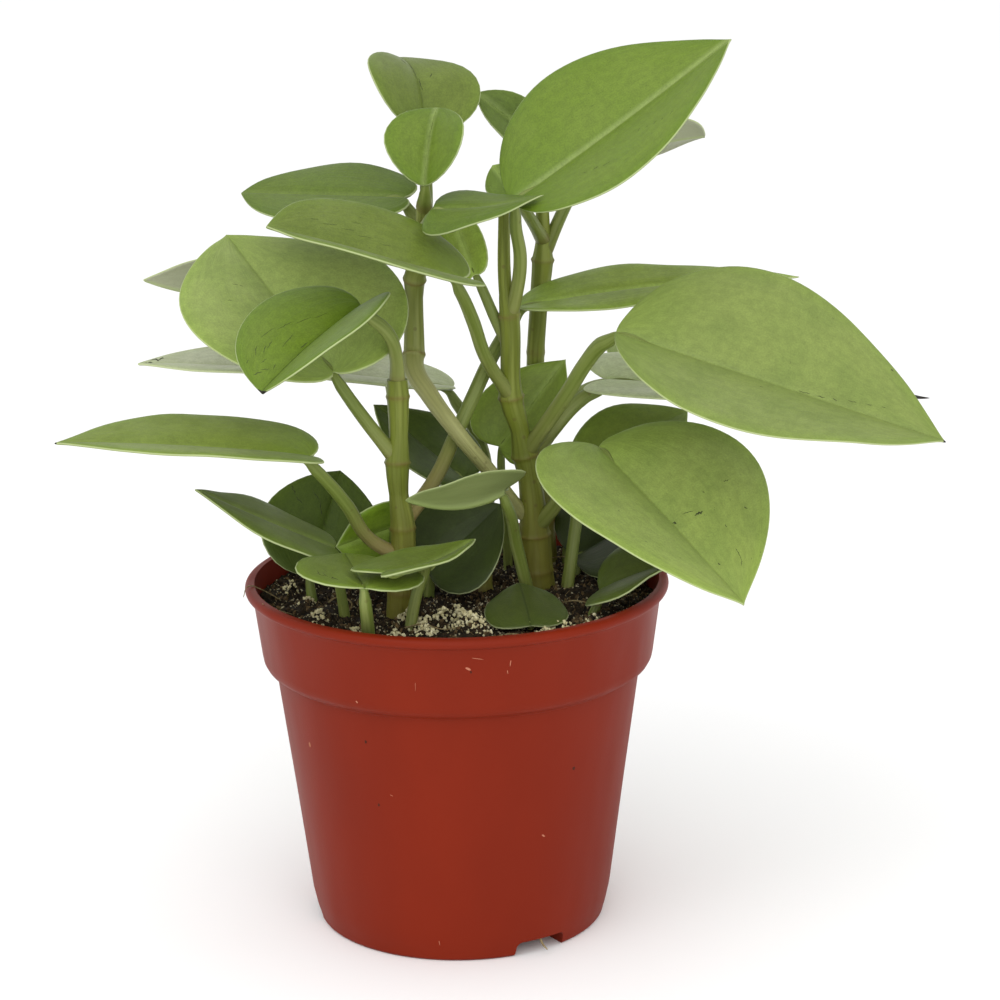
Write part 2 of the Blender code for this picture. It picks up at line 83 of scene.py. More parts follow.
def dimmed(colour: Colour, share: float) -> Colour:
    """Return a colour made darker."""
    return tuple(share * level for level in colour)


class NodeSheet:
    """Adds and links nodes in one node tree."""

    def __init__(self, tree: bpy.types.NodeTree) -> None:
        """Work on a shader or geometry node tree."""
        self.tree = tree

    def feed(self, socket: bpy.types.NodeSocket, value: Any) -> None:
        """Link a socket into an input, or set the input's own value.

        Args:
            socket: The input.
            value: An output socket, or a plain value.
        """
        if isinstance(value, bpy.types.NodeSocket):
            self.tree.links.new(value, socket)
        else:
            socket.default_value = value

    def add(self, kind: str, inputs: dict[Any, Any] | None = None, **settings: Any) -> bpy.types.Node:
        """Add a node.

        Args:
            kind: The node's type name.
            inputs: Values or sockets for its inputs, by name or number.
            **settings: The node's own properties.

        Returns:
            The new node.
        """
        node = self.tree.nodes.new(kind)
        for key, value in settings.items():
            setattr(node, key, value)
        for key, value in (inputs or {}).items():
            self.feed(node.inputs[key], value)
        return node

    def out(self, kind: str, inputs: dict[Any, Any] | None = None, **settings: Any) -> Any:
        """Add a node and return its first output."""
        return self.add(kind, inputs, **settings).outputs[0]

    def sum(self, operation: str, first: Any, second: Any = 0.0) -> Any:
        """Return the output of a Math node on two values."""
        return self.out("ShaderNodeMath", {0: first, 1: second}, operation=operation)

    def times(self, first: Any, *others: Any) -> Any:
        """Return the product of some values.

        Args:
            first: The first value.
            *others: The values that multiply it.

        Returns:
            The last product's output.
        """
        for other in others:
            first = self.sum("MULTIPLY", first, other)
        return first

    def shift(self, operation: str, first: Any, second: Any) -> Any:
        """Return a Vector Math node's output on a vector and a second one, or a scale."""
        place = "Scale" if operation == "SCALE" else 1
        return self.out("ShaderNodeVectorMath", {0: first, place: second}, operation=operation)

    def noise(self, place: Any, scale: float, detail: float = 2.0, roughness: float = 0.5) -> Any:
        """Return a noise texture's value at a place."""
        inputs = {"Vector": place, "Scale": scale, "Detail": detail, "Roughness": roughness}
        return self.out("ShaderNodeTexNoise", inputs)

    def wander(self, place: Any, scale: float, detail: float, reach: Any) -> Any:
        """Return a noisy shift in all directions, up to about half of reach.

        Args:
            place: The coordinates.
            scale: The noise's scale.
            detail: The noise's detail.
            reach: Twice the farthest shift.

        Returns:
            The shift, as a vector output.
        """
        inputs = {"Vector": place, "Scale": scale, "Detail": detail}
        colour = self.add("ShaderNodeTexNoise", inputs).outputs[1]
        return self.shift("SCALE", self.shift("SUBTRACT", colour, (0.5, 0.5, 0.5)), reach)

    def ramp(self, value: Any, low: float, high: float, to_low: float = 0.0, to_high: float = 1.0) -> Any:
        """Return a value eased from to_low at low to to_high at high."""
        inputs = {"Value": value, "From Min": low, "From Max": high, "To Min": to_low, "To Max": to_high}
        return self.out("ShaderNodeMapRange", inputs, interpolation_type="SMOOTHSTEP")


class FinishSheet(NodeSheet):
    """The nodes of one material, round its Principled BSDF."""

    def __init__(self, name: str, roughness: float, specular: float = 0.5) -> None:
        """Start a material.

        Args:
            name: The material's name.
            roughness: Its roughness where nothing varies it.
            specular: How strongly it reflects.
        """
        self.material = bpy.data.materials.new(name)
        self.material.use_nodes = True
        super().__init__(self.material.node_tree)
        self.shader = self.tree.nodes["Principled BSDF"]
        self.shader.inputs["Roughness"].default_value = roughness
        self.shader.inputs["Specular IOR Level"].default_value = specular

    def scaled(self, place: Any, scale: Sequence[float]) -> Any:
        """Return coordinates scaled along each axis."""
        return self.out("ShaderNodeMapping", {"Vector": place, "Scale": scale})

    def place(self, *scale: float) -> Any:
        """Return the piece's own coordinates in metres, scaled along each axis."""
        return self.scaled(self.add("ShaderNodeTexCoord").outputs["Object"], scale or (1.0, 1.0, 1.0))

    def attribute(self, name: str, output: str = "Fac") -> Any:
        """Return a value that the piece's mesh holds at each point."""
        return self.add("ShaderNodeAttribute", attribute_name=name).outputs[output]

    def round_stalk(self, around: float, along: float) -> Any:
        """Return the place on a swept stalk, scaled round it and, for each mm, along it.

        Args:
            around: The scale round the stalk.
            along: The scale along it, for each mm.

        Returns:
            The place, as a vector output.
        """
        turn = self.shift("SCALE", self.attribute("around", "Vector"), around)
        run = self.times(self.attribute("run"), along)
        return self.shift("ADD", turn, self.out("ShaderNodeCombineXYZ", {2: run}))

    def paint(self, socket: bpy.types.NodeSocket, colour: Any) -> None:
        """Feed a socket or a linear colour into a colour input."""
        self.feed(socket, colour if isinstance(colour, bpy.types.NodeSocket) else (*colour, 1.0))

    def blend(self, share: Any, first: Any, second: Any) -> Any:
        """Return the mix of two colours.

        Args:
            share: How much of the second colour shows.
            first: A socket or a linear colour.
            second: A socket or a linear colour.

        Returns:
            The mixed colour's output.
        """
        node = self.add("ShaderNodeMix", {0: share}, data_type="RGBA")
        for number, colour in ((6, first), (7, second)):
            self.paint(node.inputs[number], colour)
        return node.outputs[2]

    def spots(self, place: Any, scale: float, share: float, size: float) -> Any:
        """Return a mask of scattered spots.

        Args:
            place: The coordinates that the spots lie in.
            scale: How many cells there are to a unit of them.
            share: The share of the cells that hold a spot.
            size: A spot's radius, as a share of its cell.

        Returns:
            The mask, 0 to 1.
        """
        cells = self.add("ShaderNodeTexVoronoi", {"Vector": place, "Scale": scale}).outputs
        chosen = self.sum("LESS_THAN", self.out("ShaderNodeSeparateColor", {0: cells["Color"]}), share)
        return self.times(chosen, self.ramp(cells["Distance"], size * 0.6, size, 1.0, 0.0))

    def streaked(self, flesh: Colour, streak: Colour, light: Colour, fine: tuple[float, float],
                 broad: tuple[float, float], share: float) -> tuple[Any, Any]:
        """Return the streaks along a stalk and its streaked green.

        Args:
            flesh: The main green.
            streak: The fine streaks' green.
            light: The broad pale streaks' green.
            fine: The fine streaks' scales round the stalk and along it.
            broad: The broad streaks' scales.
            share: How much the broad streaks show.

        Returns:
            The fine streaks' mask and the colour.
        """
        streaks = self.ramp(self.noise(self.round_stalk(*fine), 1.0, 3.0), 0.35, 0.65)
        lights = self.ramp(self.noise(self.round_stalk(*broad), 1.0, 1.0), 0.5, 0.7)
        return streaks, self.blend(self.times(lights, share), self.blend(streaks, flesh, streak), light)

    def colour(self, value: Any) -> None:
        """Set the base colour to a socket or a linear colour."""
        self.paint(self.shader.inputs["Base Color"], value)

    def rough(self, value: Any, low: float, high: float, to_low: float, to_high: float) -> None:
        """Let the roughness follow a value, eased from to_low at low to to_high at high."""
        self.feed(self.shader.inputs["Roughness"], self.ramp(value, low, high, to_low, to_high))

    def bump(self, height: Any, depth: float, strength: float = 1.0) -> None:
        """Raise the surface by a height texture.

        Args:
            height: The texture's value, 0 to 1.
            depth: The height in metres that a value of 1 stands for.
            strength: The share of it that shows.
        """
        node = self.add("ShaderNodeBump", {"Height": height, "Distance": depth, "Strength": strength})
        before = self.shader.inputs["Normal"]
        if before.is_linked:
            self.feed(node.inputs["Normal"], before.links[0].from_socket)
        self.feed(before, node.outputs[0])


class LeafTone(Enum):
    """How old and how sunlit a leaf is, which sets its greens."""

    FRESH = "fresh"
    PALE = "pale"
    MIDDLE = "middle"
    # Painted shade, partly real age: the dark greens of older leaves that lie in the plant's shade.
    OLD_AND_SHADED = "old_and_shaded"
    # Painted reflection: the whitish green of leaves that catch glare, partly their pale undersides.
    SILVER_GLARE = "silver_glare"


@dataclass(frozen=True)
class LeafFinish:
    """The finish of one tone of leaf blade.

    Attributes:
        tone: The tone that the finish is for.
        face: The upper face's main green.
        mottle: The green that clouds it.
        fresh: The brighter green near the margin and the base.
        under: The lower face.
    """

    tone: LeafTone
    face: Colour
    mottle: Colour
    fresh: Colour
    under: Colour
    margin: Colour = display(188, 198, 148)
    pale_rib: Colour = display(150, 168, 98)
    dark_vein_and_crease_shade: Colour = display(48, 62, 20)
    scratch: Colour = display(34, 46, 20)
    dried: Colour = display(30, 26, 16)
    roughness: float = 0.5
    specular: float = 0.28

    def material(self) -> bpy.types.Material:
        """Build the material.

        Returns:
            A material that reads the blade's own attributes: blade (mm along, mm across
            and a seed), edge and rib (mm from the margin and the midrib), under, wear,
            crease (below 0, a dark line, partly painted shade in the fold), light (a gain
            of painted light and shade on the greens) and dryness.
        """
        sheet = FinishSheet(f"leaf_{self.tone.value}", self.roughness, self.specular)
        blade = sheet.attribute("blade", "Vector")
        edge, rib, crease, along, light = (
            sheet.attribute(name) for name in ("edge", "rib", "crease", "along", "light"))

        clouds = sheet.ramp(sheet.noise(blade, 0.07, 3.0), 0.35, 0.68)
        green = sheet.blend(clouds, self.face, self.mottle)
        near_edge = sheet.ramp(edge, 0.0, 6.0, 0.5, 0.0)
        near_base = sheet.ramp(along, 0.0, 0.28, 0.5, 0.0)
        green = sheet.blend(sheet.sum("MAXIMUM", near_edge, near_base), green, self.fresh)

        stretched = sheet.scaled(blade, (0.06, 0.8, 1.0))
        veins = sheet.ramp(sheet.noise(stretched, 1.0, 3.0), 0.44, 0.66)
        green = sheet.blend(sheet.times(veins, 0.05), green, self.dark_vein_and_crease_shade)
        band, line = sheet.ramp(rib, 0.2, 1.9, 0.8, 0.0), sheet.ramp(rib, 0.1, 0.45, 1.0, 0.0)
        green = sheet.blend(sheet.times(band, sheet.sum("MAXIMUM", crease, 0.0)), green, self.pale_rib)
        # Painted shade: below 0, crease darkens a thin line along the midrib for the shade in the fold,
        # partly the midrib's own darker green.
        dark = sheet.times(line, sheet.sum("MAXIMUM", sheet.times(crease, -1.0), 0.0))
        green = sheet.blend(dark, green, self.dark_vein_and_crease_shade)

        fine, broad = sheet.noise(blade, 1.9, 3.0, 0.6), sheet.noise(blade, 0.45, 2.0)
        grain = sheet.times(sheet.ramp(fine, 0.3, 0.7, 0.9, 1.1), sheet.ramp(broad, 0.3, 0.7, 0.93, 1.07))
        # Painted light and shade: the greens are scaled by the leaf's light gain, which stands in for how
        # much light falls on it, and partly for its own paleness.
        green = sheet.shift("SCALE", green, sheet.times(grain, light))
        green = sheet.blend(self.scratches(sheet, blade, along), green, self.scratch)
        green = sheet.blend(sheet.ramp(edge, 0.12, 0.36, 0.6, 0.0), green, self.margin)

        uneven = sheet.ramp(sheet.noise(stretched, 1.2, 2.0), 0.3, 0.7)
        below = sheet.blend(uneven, self.under, dimmed(self.under, 0.94))
        below = sheet.blend(sheet.ramp(rib, 0.2, 1.6, 0.4, 0.0), below, self.pale_rib)
        # Painted light and shade: the lower face is scaled by the same light gain.
        whole = sheet.blend(sheet.attribute("under"), green, sheet.shift("SCALE", below, light))
        ragged = sheet.sum("ADD", sheet.attribute("dryness"), sheet.ramp(fine, 0.3, 0.7, -0.15, 0.15))
        sheet.colour(sheet.blend(sheet.ramp(ragged, 0.0, 0.35), whole, self.dried))
        sheet.rough(clouds, 0.0, 1.0, self.roughness - 0.04, self.roughness + 0.05)
        sheet.bump(fine, 0.00007)
        sheet.bump(veins, 0.00005, 0.5)
        return sheet.material

    def scratches(self, sheet: FinishSheet, blade: Any, along: Any) -> Any:
        """Return the mask of the dark scratches that run roughly along the veins.

        Args:
            sheet: The material's nodes.
            blade: The place on the blade, in mm.
            along: The share of the way from the base to the tip.

        Returns:
            The mask, 0 to 1.
        """
        moved = sheet.shift("ADD", blade, sheet.wander(blade, 0.9, 3.0, 2.6))
        marks = sheet.spots(sheet.scaled(moved, (0.15, 0.62, 1.0)), 1.0, 0.22, 0.13)
        broken = sheet.ramp(sheet.noise(blade, 1.1, 2.0), 0.42, 0.52)
        return sheet.times(marks, broken, sheet.ramp(along, 0.18, 0.55), sheet.attribute("wear"))


LEAF_FINISHES = (
    LeafFinish(LeafTone.FRESH, display(101, 125, 32), display(106, 128, 42), display(92, 120, 22),
               display(118, 132, 72)),
    LeafFinish(LeafTone.PALE, display(119, 134, 66), display(112, 128, 62), display(115, 136, 54),
               display(146, 150, 122)),
    LeafFinish(LeafTone.MIDDLE, display(95, 110, 41), display(89, 104, 37), display(94, 115, 33),
               display(112, 124, 72)),
    # The old and shaded greens: painted shade, partly the darker green of older leaves.
    LeafFinish(LeafTone.OLD_AND_SHADED, display(72, 89, 29), display(65, 81, 26), display(79, 97, 31),
               display(84, 98, 48)),
    # The silver glare greens: painted reflection, partly the pale green of undersides.
    LeafFinish(LeafTone.SILVER_GLARE, display(153, 158, 132), display(146, 152, 122), display(140, 152, 104),
               display(158, 164, 140)),
)


@dataclass(frozen=True)
class StalkFinish:
    """The finish of the leaf stalks: streaked yellow-green, pinkish brown at the foot."""

    name: str = "stalk_green"
    flesh: Colour = display(114, 127, 60)
    streak: Colour = display(98, 112, 44)
    light: Colour = display(146, 154, 92)
    foot: Colour = display(120, 118, 60)
    foot_share: float = 0.35
    collar: Colour = display(100, 80, 44)
    speck: Colour = display(84, 66, 36)
    roughness: float = 0.48
    specular: float = 0.3

    def material(self) -> bpy.types.Material:
        """Build the material, which reads the stalk's run, share and around attributes.

        Returns:
            The material.
        """
        sheet = FinishSheet(self.name, self.roughness, self.specular)
        streaks, green = sheet.streaked(self.flesh, self.streak, self.light, (1.7, 0.035), (1.1, 0.02), 0.5)
        foot = sheet.ramp(sheet.attribute("share"), 0.05, 0.42, self.foot_share, 0.0)
        collar = sheet.ramp(sheet.attribute("run"), 2.0, 4.5, 0.35, 0.0)
        green = sheet.blend(collar, sheet.blend(foot, green, self.foot), self.collar)
        specks = sheet.spots(sheet.place(), 420.0, 0.12, 0.3)
        sheet.colour(sheet.blend(sheet.times(specks, 0.3), green, self.speck))
        sheet.bump(streaks, 0.0001)
        return sheet.material


@dataclass(frozen=True)
class StemFinish:
    """The finish of the stems: streaked olive with thin brown node rings."""

    name: str = "stem_olive"
    flesh: Colour = display(112, 122, 42)
    streak: Colour = display(94, 103, 29)
    light: Colour = display(142, 150, 68)
    old: Colour = display(122, 106, 46)
    ring: Colour = display(104, 80, 40)
    speck: Colour = display(78, 58, 30)
    pale_foot: Colour = display(164, 164, 106)
    pale_run: float = 0.0
    roughness: float = 0.46
    specular: float = 0.3

    def material(self) -> bpy.types.Material:
        """Build the material, which reads the stem's run, ring and around attributes.

        Returns:
            The material.
        """
        sheet = FinishSheet(self.name, self.roughness, self.specular)
        run = sheet.attribute("run")
        streaks, green = sheet.streaked(self.flesh, self.streak, self.light, (1.8, 0.03), (1.2, 0.018), 0.55)
        green = sheet.blend(sheet.ramp(run, 8.0, 56.0, 0.15 if self.pale_run else 0.5, 0.0), green, self.old)
        if self.pale_run:
            pale = sheet.blend(streaks, self.pale_foot, dimmed(self.pale_foot, 0.78))
            green = sheet.blend(sheet.ramp(run, 0.7 * self.pale_run, self.pale_run, 0.9, 0.0), green, pale)
        specks = sheet.spots(sheet.place(), 360.0, 0.18, 0.26)
        green = sheet.blend(sheet.times(specks, 0.35), green, self.speck)
        patchy = sheet.ramp(sheet.noise(sheet.place(260.0, 260.0, 260.0), 1.0, 2.0), 0.3, 0.6, 0.35, 1.0)
        sheet.colour(sheet.blend(sheet.times(sheet.attribute("ring"), patchy, 0.6), green, self.ring))
        sheet.rough(streaks, 0.0, 1.0, self.roughness, self.roughness + 0.12)
        sheet.bump(streaks, 0.00016)
        return sheet.material


@dataclass(frozen=True)
class PotFinish:
    """The finish of the pot: satin terracotta plastic with a few specks and scuffs."""

    name: str = "pot_plastic"
    clay: Colour = display(120, 33, 11)
    shade: Colour = display(114, 31, 11)
    speck: Colour = display(176, 120, 84)
    grime: Colour = display(92, 44, 32)
    roughness: float = 0.46
    specular: float = 0.1

    def material(self) -> bpy.types.Material:
        """Build the material.

        Returns:
            The material.
        """
        sheet = FinishSheet(self.name, self.roughness, self.specular)
        clouds = sheet.ramp(sheet.noise(sheet.place(30.0, 30.0, 14.0), 1.0, 3.0), 0.3, 0.7)
        clay = sheet.blend(clouds, self.clay, self.shade)
        dust = sheet.spots(sheet.place(1.0, 1.0, 0.6), 95.0, 0.12, 0.06)
        clay = sheet.blend(sheet.times(dust, 0.65), clay, self.speck)
        dirt = sheet.spots(sheet.place(), 60.0, 0.1, 0.035)
        sheet.colour(sheet.blend(sheet.times(dirt, 0.8), clay, self.grime))
        wiped = sheet.noise(sheet.place(60.0, 60.0, 12.0), 1.0, 2.0)
        sheet.rough(wiped, 0.3, 0.7, self.roughness - 0.05, self.roughness + 0.08)
        sheet.bump(sheet.noise(sheet.place(1600.0, 1600.0, 1600.0), 1.0, 2.0), 0.00005, 0.5)
        return sheet.material


@dataclass(frozen=True)
class EarthFinish:
    """The finish of earth and of the grains in it: broken, matte and mottled."""

    name: str
    dark: Colour
    light: Colour
    grain_size: float = 1.1
    roughness: float = 0.95
    specular: float = 0.25

    def material(self) -> bpy.types.Material:
        """Build the material.

        Returns:
            The material.
        """
        sheet = FinishSheet(self.name, self.roughness, self.specular)
        fine = 1.0 / (self.grain_size * MM)
        grain = sheet.noise(sheet.place(), fine, 5.0, 0.65)
        lumps = sheet.noise(sheet.place(), 0.25 * fine, 2.0)
        mixed = sheet.times(sheet.ramp(grain, 0.35, 0.7), sheet.ramp(lumps, 0.3, 0.7, 0.5, 1.0))
        sheet.colour(sheet.blend(mixed, self.dark, self.light))
        sheet.bump(grain, 0.0006)
        return sheet.material


@dataclass(frozen=True)
class FloorFinish:
    """The finish of the studio's floor: plain, pale and matte."""

    paper: Colour = (0.96, 0.96, 0.96)
    roughness: float = 0.9
    specular: float = 0.0

    def material(self) -> bpy.types.Material:
        """Build the material.

        Returns:
            The material.
        """
        sheet = FinishSheet("studio_floor", self.roughness, self.specular)
        sheet.colour(self.paper)
        return sheet.material


@dataclass(frozen=True)
class LeafShape:
    """One leaf: its place, size and bend, in mm and degrees.

    Attributes:
        name: The frame node that the leaf stands for.
        start: The stalk's first point, in its stem or in the soil.
        base: The blade's base, where the stalk joins it.
        tip: The blade's tip.
        width: The blade's most width, measured along its two halves.
        roll: How far the face is turned from straight up toward the viewer.
        fold: How far both halves are raised.
        arch: The midrib's rise, as a share of its length.
        notch: How far the halves reach back past the base.
        base_power: How fast the outline widens from the base; less is rounder.
        tip_power: How fast it narrows to the tip; less is rounder.
        via: The stalk's points between its start and the blade.
        stalk: The stalk's radius.
        tone: The greens of the blade.
        wear: How scratched the face is.
        crease: The midrib's colour, from -1, dark, partly painted shade in the fold, to 1, pale.
        light: Painted light and shade, partly its own paleness: how light the leaf is beside its tone's
            green.
        dry: The share of its length that is dried up at the tip.
    """

    name: str
    start: Point
    base: Point
    tip: Point
    width: float
    roll: float
    fold: float = 20.0
    arch: float = 0.0
    notch: float = 0.08
    base_power: float = 0.5
    tip_power: float = 0.95
    via: tuple[Point, ...] = ()
    stalk: float = 2.0
    tone: LeafTone = LeafTone.MIDDLE
    wear: float = 0.4
    crease: float = 0.3
    light: float = 1.0
    dry: float = 0.0

    @property
    def length(self) -> float:
        """The distance from the base to the tip, in mm."""
        return (Vector(self.tip) - Vector(self.base)).length

    def axes(self) -> tuple[Vector, Vector, Vector]:
        """Return the blade's own axes: along the midrib, across it and out of its face.

        Returns:
            Three unit vectors.
        """
        along = (Vector(self.tip) - Vector(self.base)).normalized()
        up = Vector((0.0, 0.0, 1.0))
        face = (up - along * up.dot(along)).normalized()
        side = face.cross(along)
        if side.y > 0.0:
            side = -side
        roll = math.radians(self.roll)
        face = face * math.cos(roll) + side * math.sin(roll)
        return along, face.cross(along), face

    def turn(self) -> Matrix:
        """Return what turns the blade's own axes into place."""
        return Matrix(self.axes()).transposed()


class Grower:
    """Makes meshes from others with a Geometry Nodes tree that has named inputs."""

    name: str = ""
    inputs: dict[str, str] = {}

    def __init__(self) -> None:
        """Build the tree once, for all its meshes."""
        self.tree = bpy.data.node_groups.new(self.name, "GeometryNodeTree")
        make = self.tree.interface.new_socket
        for way in ("INPUT", "OUTPUT"):
            make("Geometry", in_out=way, socket_type="NodeSocketGeometry")
        self.sockets = {
            label: make(label, in_out="INPUT", socket_type=f"NodeSocket{kind}").identifier
            for label, kind in self.inputs.items()
        }
        sheet = NodeSheet(self.tree)
        given = sheet.add("NodeGroupInput").outputs
        whole = self.shape(sheet, given)
        done = sheet.out("GeometryNodeSetMaterial", {"Geometry": whole, "Material": given["Finish"]})
        sheet.add("NodeGroupOutput", {"Geometry": done})

    def shape(self, sheet: NodeSheet, given: Any) -> Any:
        """Add the nodes that shape the mesh, and return the output with the real mesh."""
        raise NotImplementedError

    @staticmethod
    def held(sheet: NodeSheet, *names: str) -> list[Any]:
        """Return numbers that the source mesh holds at each point."""
        kind = "GeometryNodeInputNamedAttribute"
        return [sheet.out(kind, {"Name": name}, data_type="FLOAT") for name in names]

    def applied(self, name: str, source: bpy.types.Mesh, values: dict[str, Any]) -> bpy.types.Mesh:
        """Run the tree on a mesh.

        Args:
            name: The new mesh's name.
            source: The mesh that it starts from.
            values: The inputs, by name.

        Returns:
            The new mesh, in metres.
        """
        guide = show(name + "_guide", source)
        modifier = guide.modifiers.new("Grow", "NODES")
        modifier.node_group = self.tree
        for label, value in values.items():
            modifier[self.sockets[label]] = value
        mesh = plain_mesh(guide, name)
        bpy.data.objects.remove(guide)
        return mesh


class Sweep(Grower):
    """Sweeps a round stalk or stem along a path."""

    name = "swept_stalk"
    inputs = {"Sides": "Int", "Ring height": "Float", "Finish": "Material"}

    def shape(self, sheet: NodeSheet, given: Any) -> Any:
        """Add the nodes that sweep a circle along the path's edges.

        Args:
            sheet: The tree's nodes.
            given: The tree's inputs.

        Returns:
            The output with the closed tube.
        """
        thick, ring = self.held(sheet, "thick", "ring")
        radius = sheet.sum("ADD", thick, sheet.times(ring, given["Ring height"]))
        line = sheet.out("GeometryNodeMeshToCurve", {"Mesh": given["Geometry"]})
        circle = sheet.out("GeometryNodeCurvePrimitiveCircle", {"Resolution": given["Sides"], "Radius": 1.0})
        spot = sheet.out("GeometryNodeInputPosition")
        rim = sheet.out("GeometryNodeStoreNamedAttribute",
                        {"Geometry": circle, "Name": "around", "Value": spot}, data_type="FLOAT_VECTOR")
        tube = sheet.out("GeometryNodeCurveToMesh",
                         {"Curve": line, "Profile Curve": rim, "Scale": radius, "Fill Caps": True})
        smooth = sheet.out("GeometryNodeSetShadeSmooth", {"Geometry": tube})
        return sheet.out("GeometryNodeRealizeInstances", {"Geometry": smooth})

    def mesh(self, name: str, path: "SmoothPath", sides: int, ridge: float,
             finish: bpy.types.Material) -> bpy.types.Mesh:
        """Sweep one path.

        Args:
            name: The mesh's name.
            path: The centre line with its radii.
            sides: The number of sides round it.
            ridge: How far a node ring stands out, in mm.
            finish: Its material.

        Returns:
            A closed tube, in metres.
        """
        line = path.as_mesh(name + "_path")
        mesh = self.applied(name, line, {"Sides": sides, "Ring height": ridge * MM, "Finish": finish})
        bpy.data.meshes.remove(line)
        return mesh


def plain_mesh(thing: bpy.types.Object, name: str) -> bpy.types.Mesh:
    """Return what an object looks like with its modifiers, as a plain mesh.

    Args:
        thing: The object, linked to the scene.
        name: The new mesh's name.

    Returns:
        The new mesh.
    """
    bpy.context.view_layer.update()
    graph = bpy.context.evaluated_depsgraph_get()
    mesh = bpy.data.meshes.new_from_object(thing.evaluated_get(graph))
    mesh.name = name
    return mesh


def show(name: str, mesh: bpy.types.Mesh) -> bpy.types.Object:
    """Put a mesh in the scene as an object at the origin.

    Args:
        name: The object's name.
        mesh: Its mesh, with its place in its points.

    Returns:
        The new object.
    """
    thing = bpy.data.objects.new(name, mesh)
    bpy.context.scene.collection.objects.link(thing)
    return thing


def settle(thing: bpy.types.Object, slot: str, *nodes: str) -> bpy.types.Object:
    """Ride a piece on the plant's one body.

    Args:
        thing: The piece.
        slot: A material slot's name; not used.
        *nodes: The frame nodes that it stands for.

    Returns:
        The same piece.
    """
    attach(thing, BODY)
    if nodes:
        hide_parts(*nodes)
    log.info("%s: %d faces", thing.name, len(thing.data.polygons))
    return thing


def join(grid: bmesh.types.BMesh, near: Sequence[Any], far: Sequence[Any], closed: bool = False) -> None:
    """Join two rows of points with faces.

    Args:
        grid: The mesh.
        near: One row, or a single pole.
        far: The next row, or a single pole.
        closed: Whether the rows are rings.
    """
    count = max(len(near), len(far))
    for column in range(count if closed else count - 1):
        following = (column + 1) % count
        places = ((near, column), (near, following), (far, following), (far, column))
        corners = [row[min(place, len(row) - 1)] for row, place in places]
        grid.faces.new(list(dict.fromkeys(corners)))


def finished(grid: bmesh.types.BMesh, name: str, *finishes: bpy.types.Material) -> bpy.types.Mesh:
    """Turn a working mesh into a real one, and free it.

    Args:
        grid: The working mesh, in metres.
        name: The new mesh's name.
        *finishes: Its materials.

    Returns:
        The new mesh.
    """
    mesh = bpy.data.meshes.new(name)
    grid.to_mesh(mesh)
    grid.free()
    for finish in finishes:
        mesh.materials.append(finish)
    return mesh


@dataclass
class SmoothPath:
    """A smooth centre line through a few points, with a radius at each.

    Attributes:
        knots: The points and radii that it passes through, in mm.
        rings: The heights of its node rings, in mm.
        swelling: The share by which its foot is thicker.
        step: The number of stretches between two knots.
        ring_reach: How far above and below its height a ring fades, in mm.
        swelling_reach: How far up the foot's swelling fades, in mm.
        handle: A Bezier handle's length, as a share of the way to the next knot.
    """

    knots: Sequence[Knot]
    rings: Sequence[float] = ()
    swelling: float = 0.0
    step: int = 10
    ring_reach: float = 0.55
    swelling_reach: float = 5.0
    handle: float = 1.0 / 2.5614

    def handles(self) -> list[tuple[Vector, Vector]]:
        """Return each knot's two Bezier handles.

        Returns:
            The handles before and after each knot, in mm.
        """
        spots = [Vector(knot[:3]) for knot in self.knots]
        spots = [2.0 * spots[0] - spots[1], *spots, 2.0 * spots[-1] - spots[-2]]
        pairs = []
        for before, here, after in zip(spots, spots[1:], spots[2:]):
            back, ahead = (here - before).length, (after - here).length
            aim = ((after - here) / ahead + (here - before) / back).normalized()
            pairs.append((here - aim * back * self.handle, here + aim * ahead * self.handle))
        return pairs

    def points(self) -> list[tuple[Vector, float]]:
        """Return the line's points with their radii, in mm.

        Returns:
            Each point and the radius there.
        """
        pairs = self.handles()
        line = []
        for number, (near, far) in enumerate(zip(self.knots, self.knots[1:])):
            spots = interpolate_bezier(Vector(near[:3]), pairs[number][1], pairs[number + 1][0],
                                       Vector(far[:3]), self.step + 1)
            for place, spot in enumerate(spots[:-1]):
                line.append((spot, near[3] + (far[3] - near[3]) * place / self.step))
        last = self.knots[-1]
        line.append((Vector(last[:3]), last[3]))
        return line

    def ringed(self, height: float) -> float:
        """Return how near a height is to a node ring, from 0 to 1."""
        return max((math.exp(-((height - ring) / self.ring_reach) ** 2) for ring in self.rings), default=0.0)

    def as_mesh(self, name: str) -> bpy.types.Mesh:
        """Return the line as edges, with thick, ring and run attributes, in metres.

        Args:
            name: The mesh's name.

        Returns:
            The mesh.
        """
        line = self.points()
        mesh = bpy.data.meshes.new(name)
        numbers = range(len(line))
        mesh.from_pydata([spot * MM for spot, _ in line], list(zip(numbers, numbers[1:])), [])
        runs = [0.0]
        for (near, _), (far, _) in zip(line, line[1:]):
            runs.append(runs[-1] + (far - near).length)
        values = {
            "thick": [radius * MM * (1.0 + self.swelling * math.exp(-(run / self.swelling_reach) ** 2))
                      for (_, radius), run in zip(line, runs)],
            "ring": [self.ringed(spot.z) for spot, _ in line],
            "run": runs,
            "share": [run / runs[-1] for run in runs],
        }
        for key, levels in values.items():
            mesh.attributes.new(key, "FLOAT", "POINT").data.foreach_set("value", levels)
        return mesh


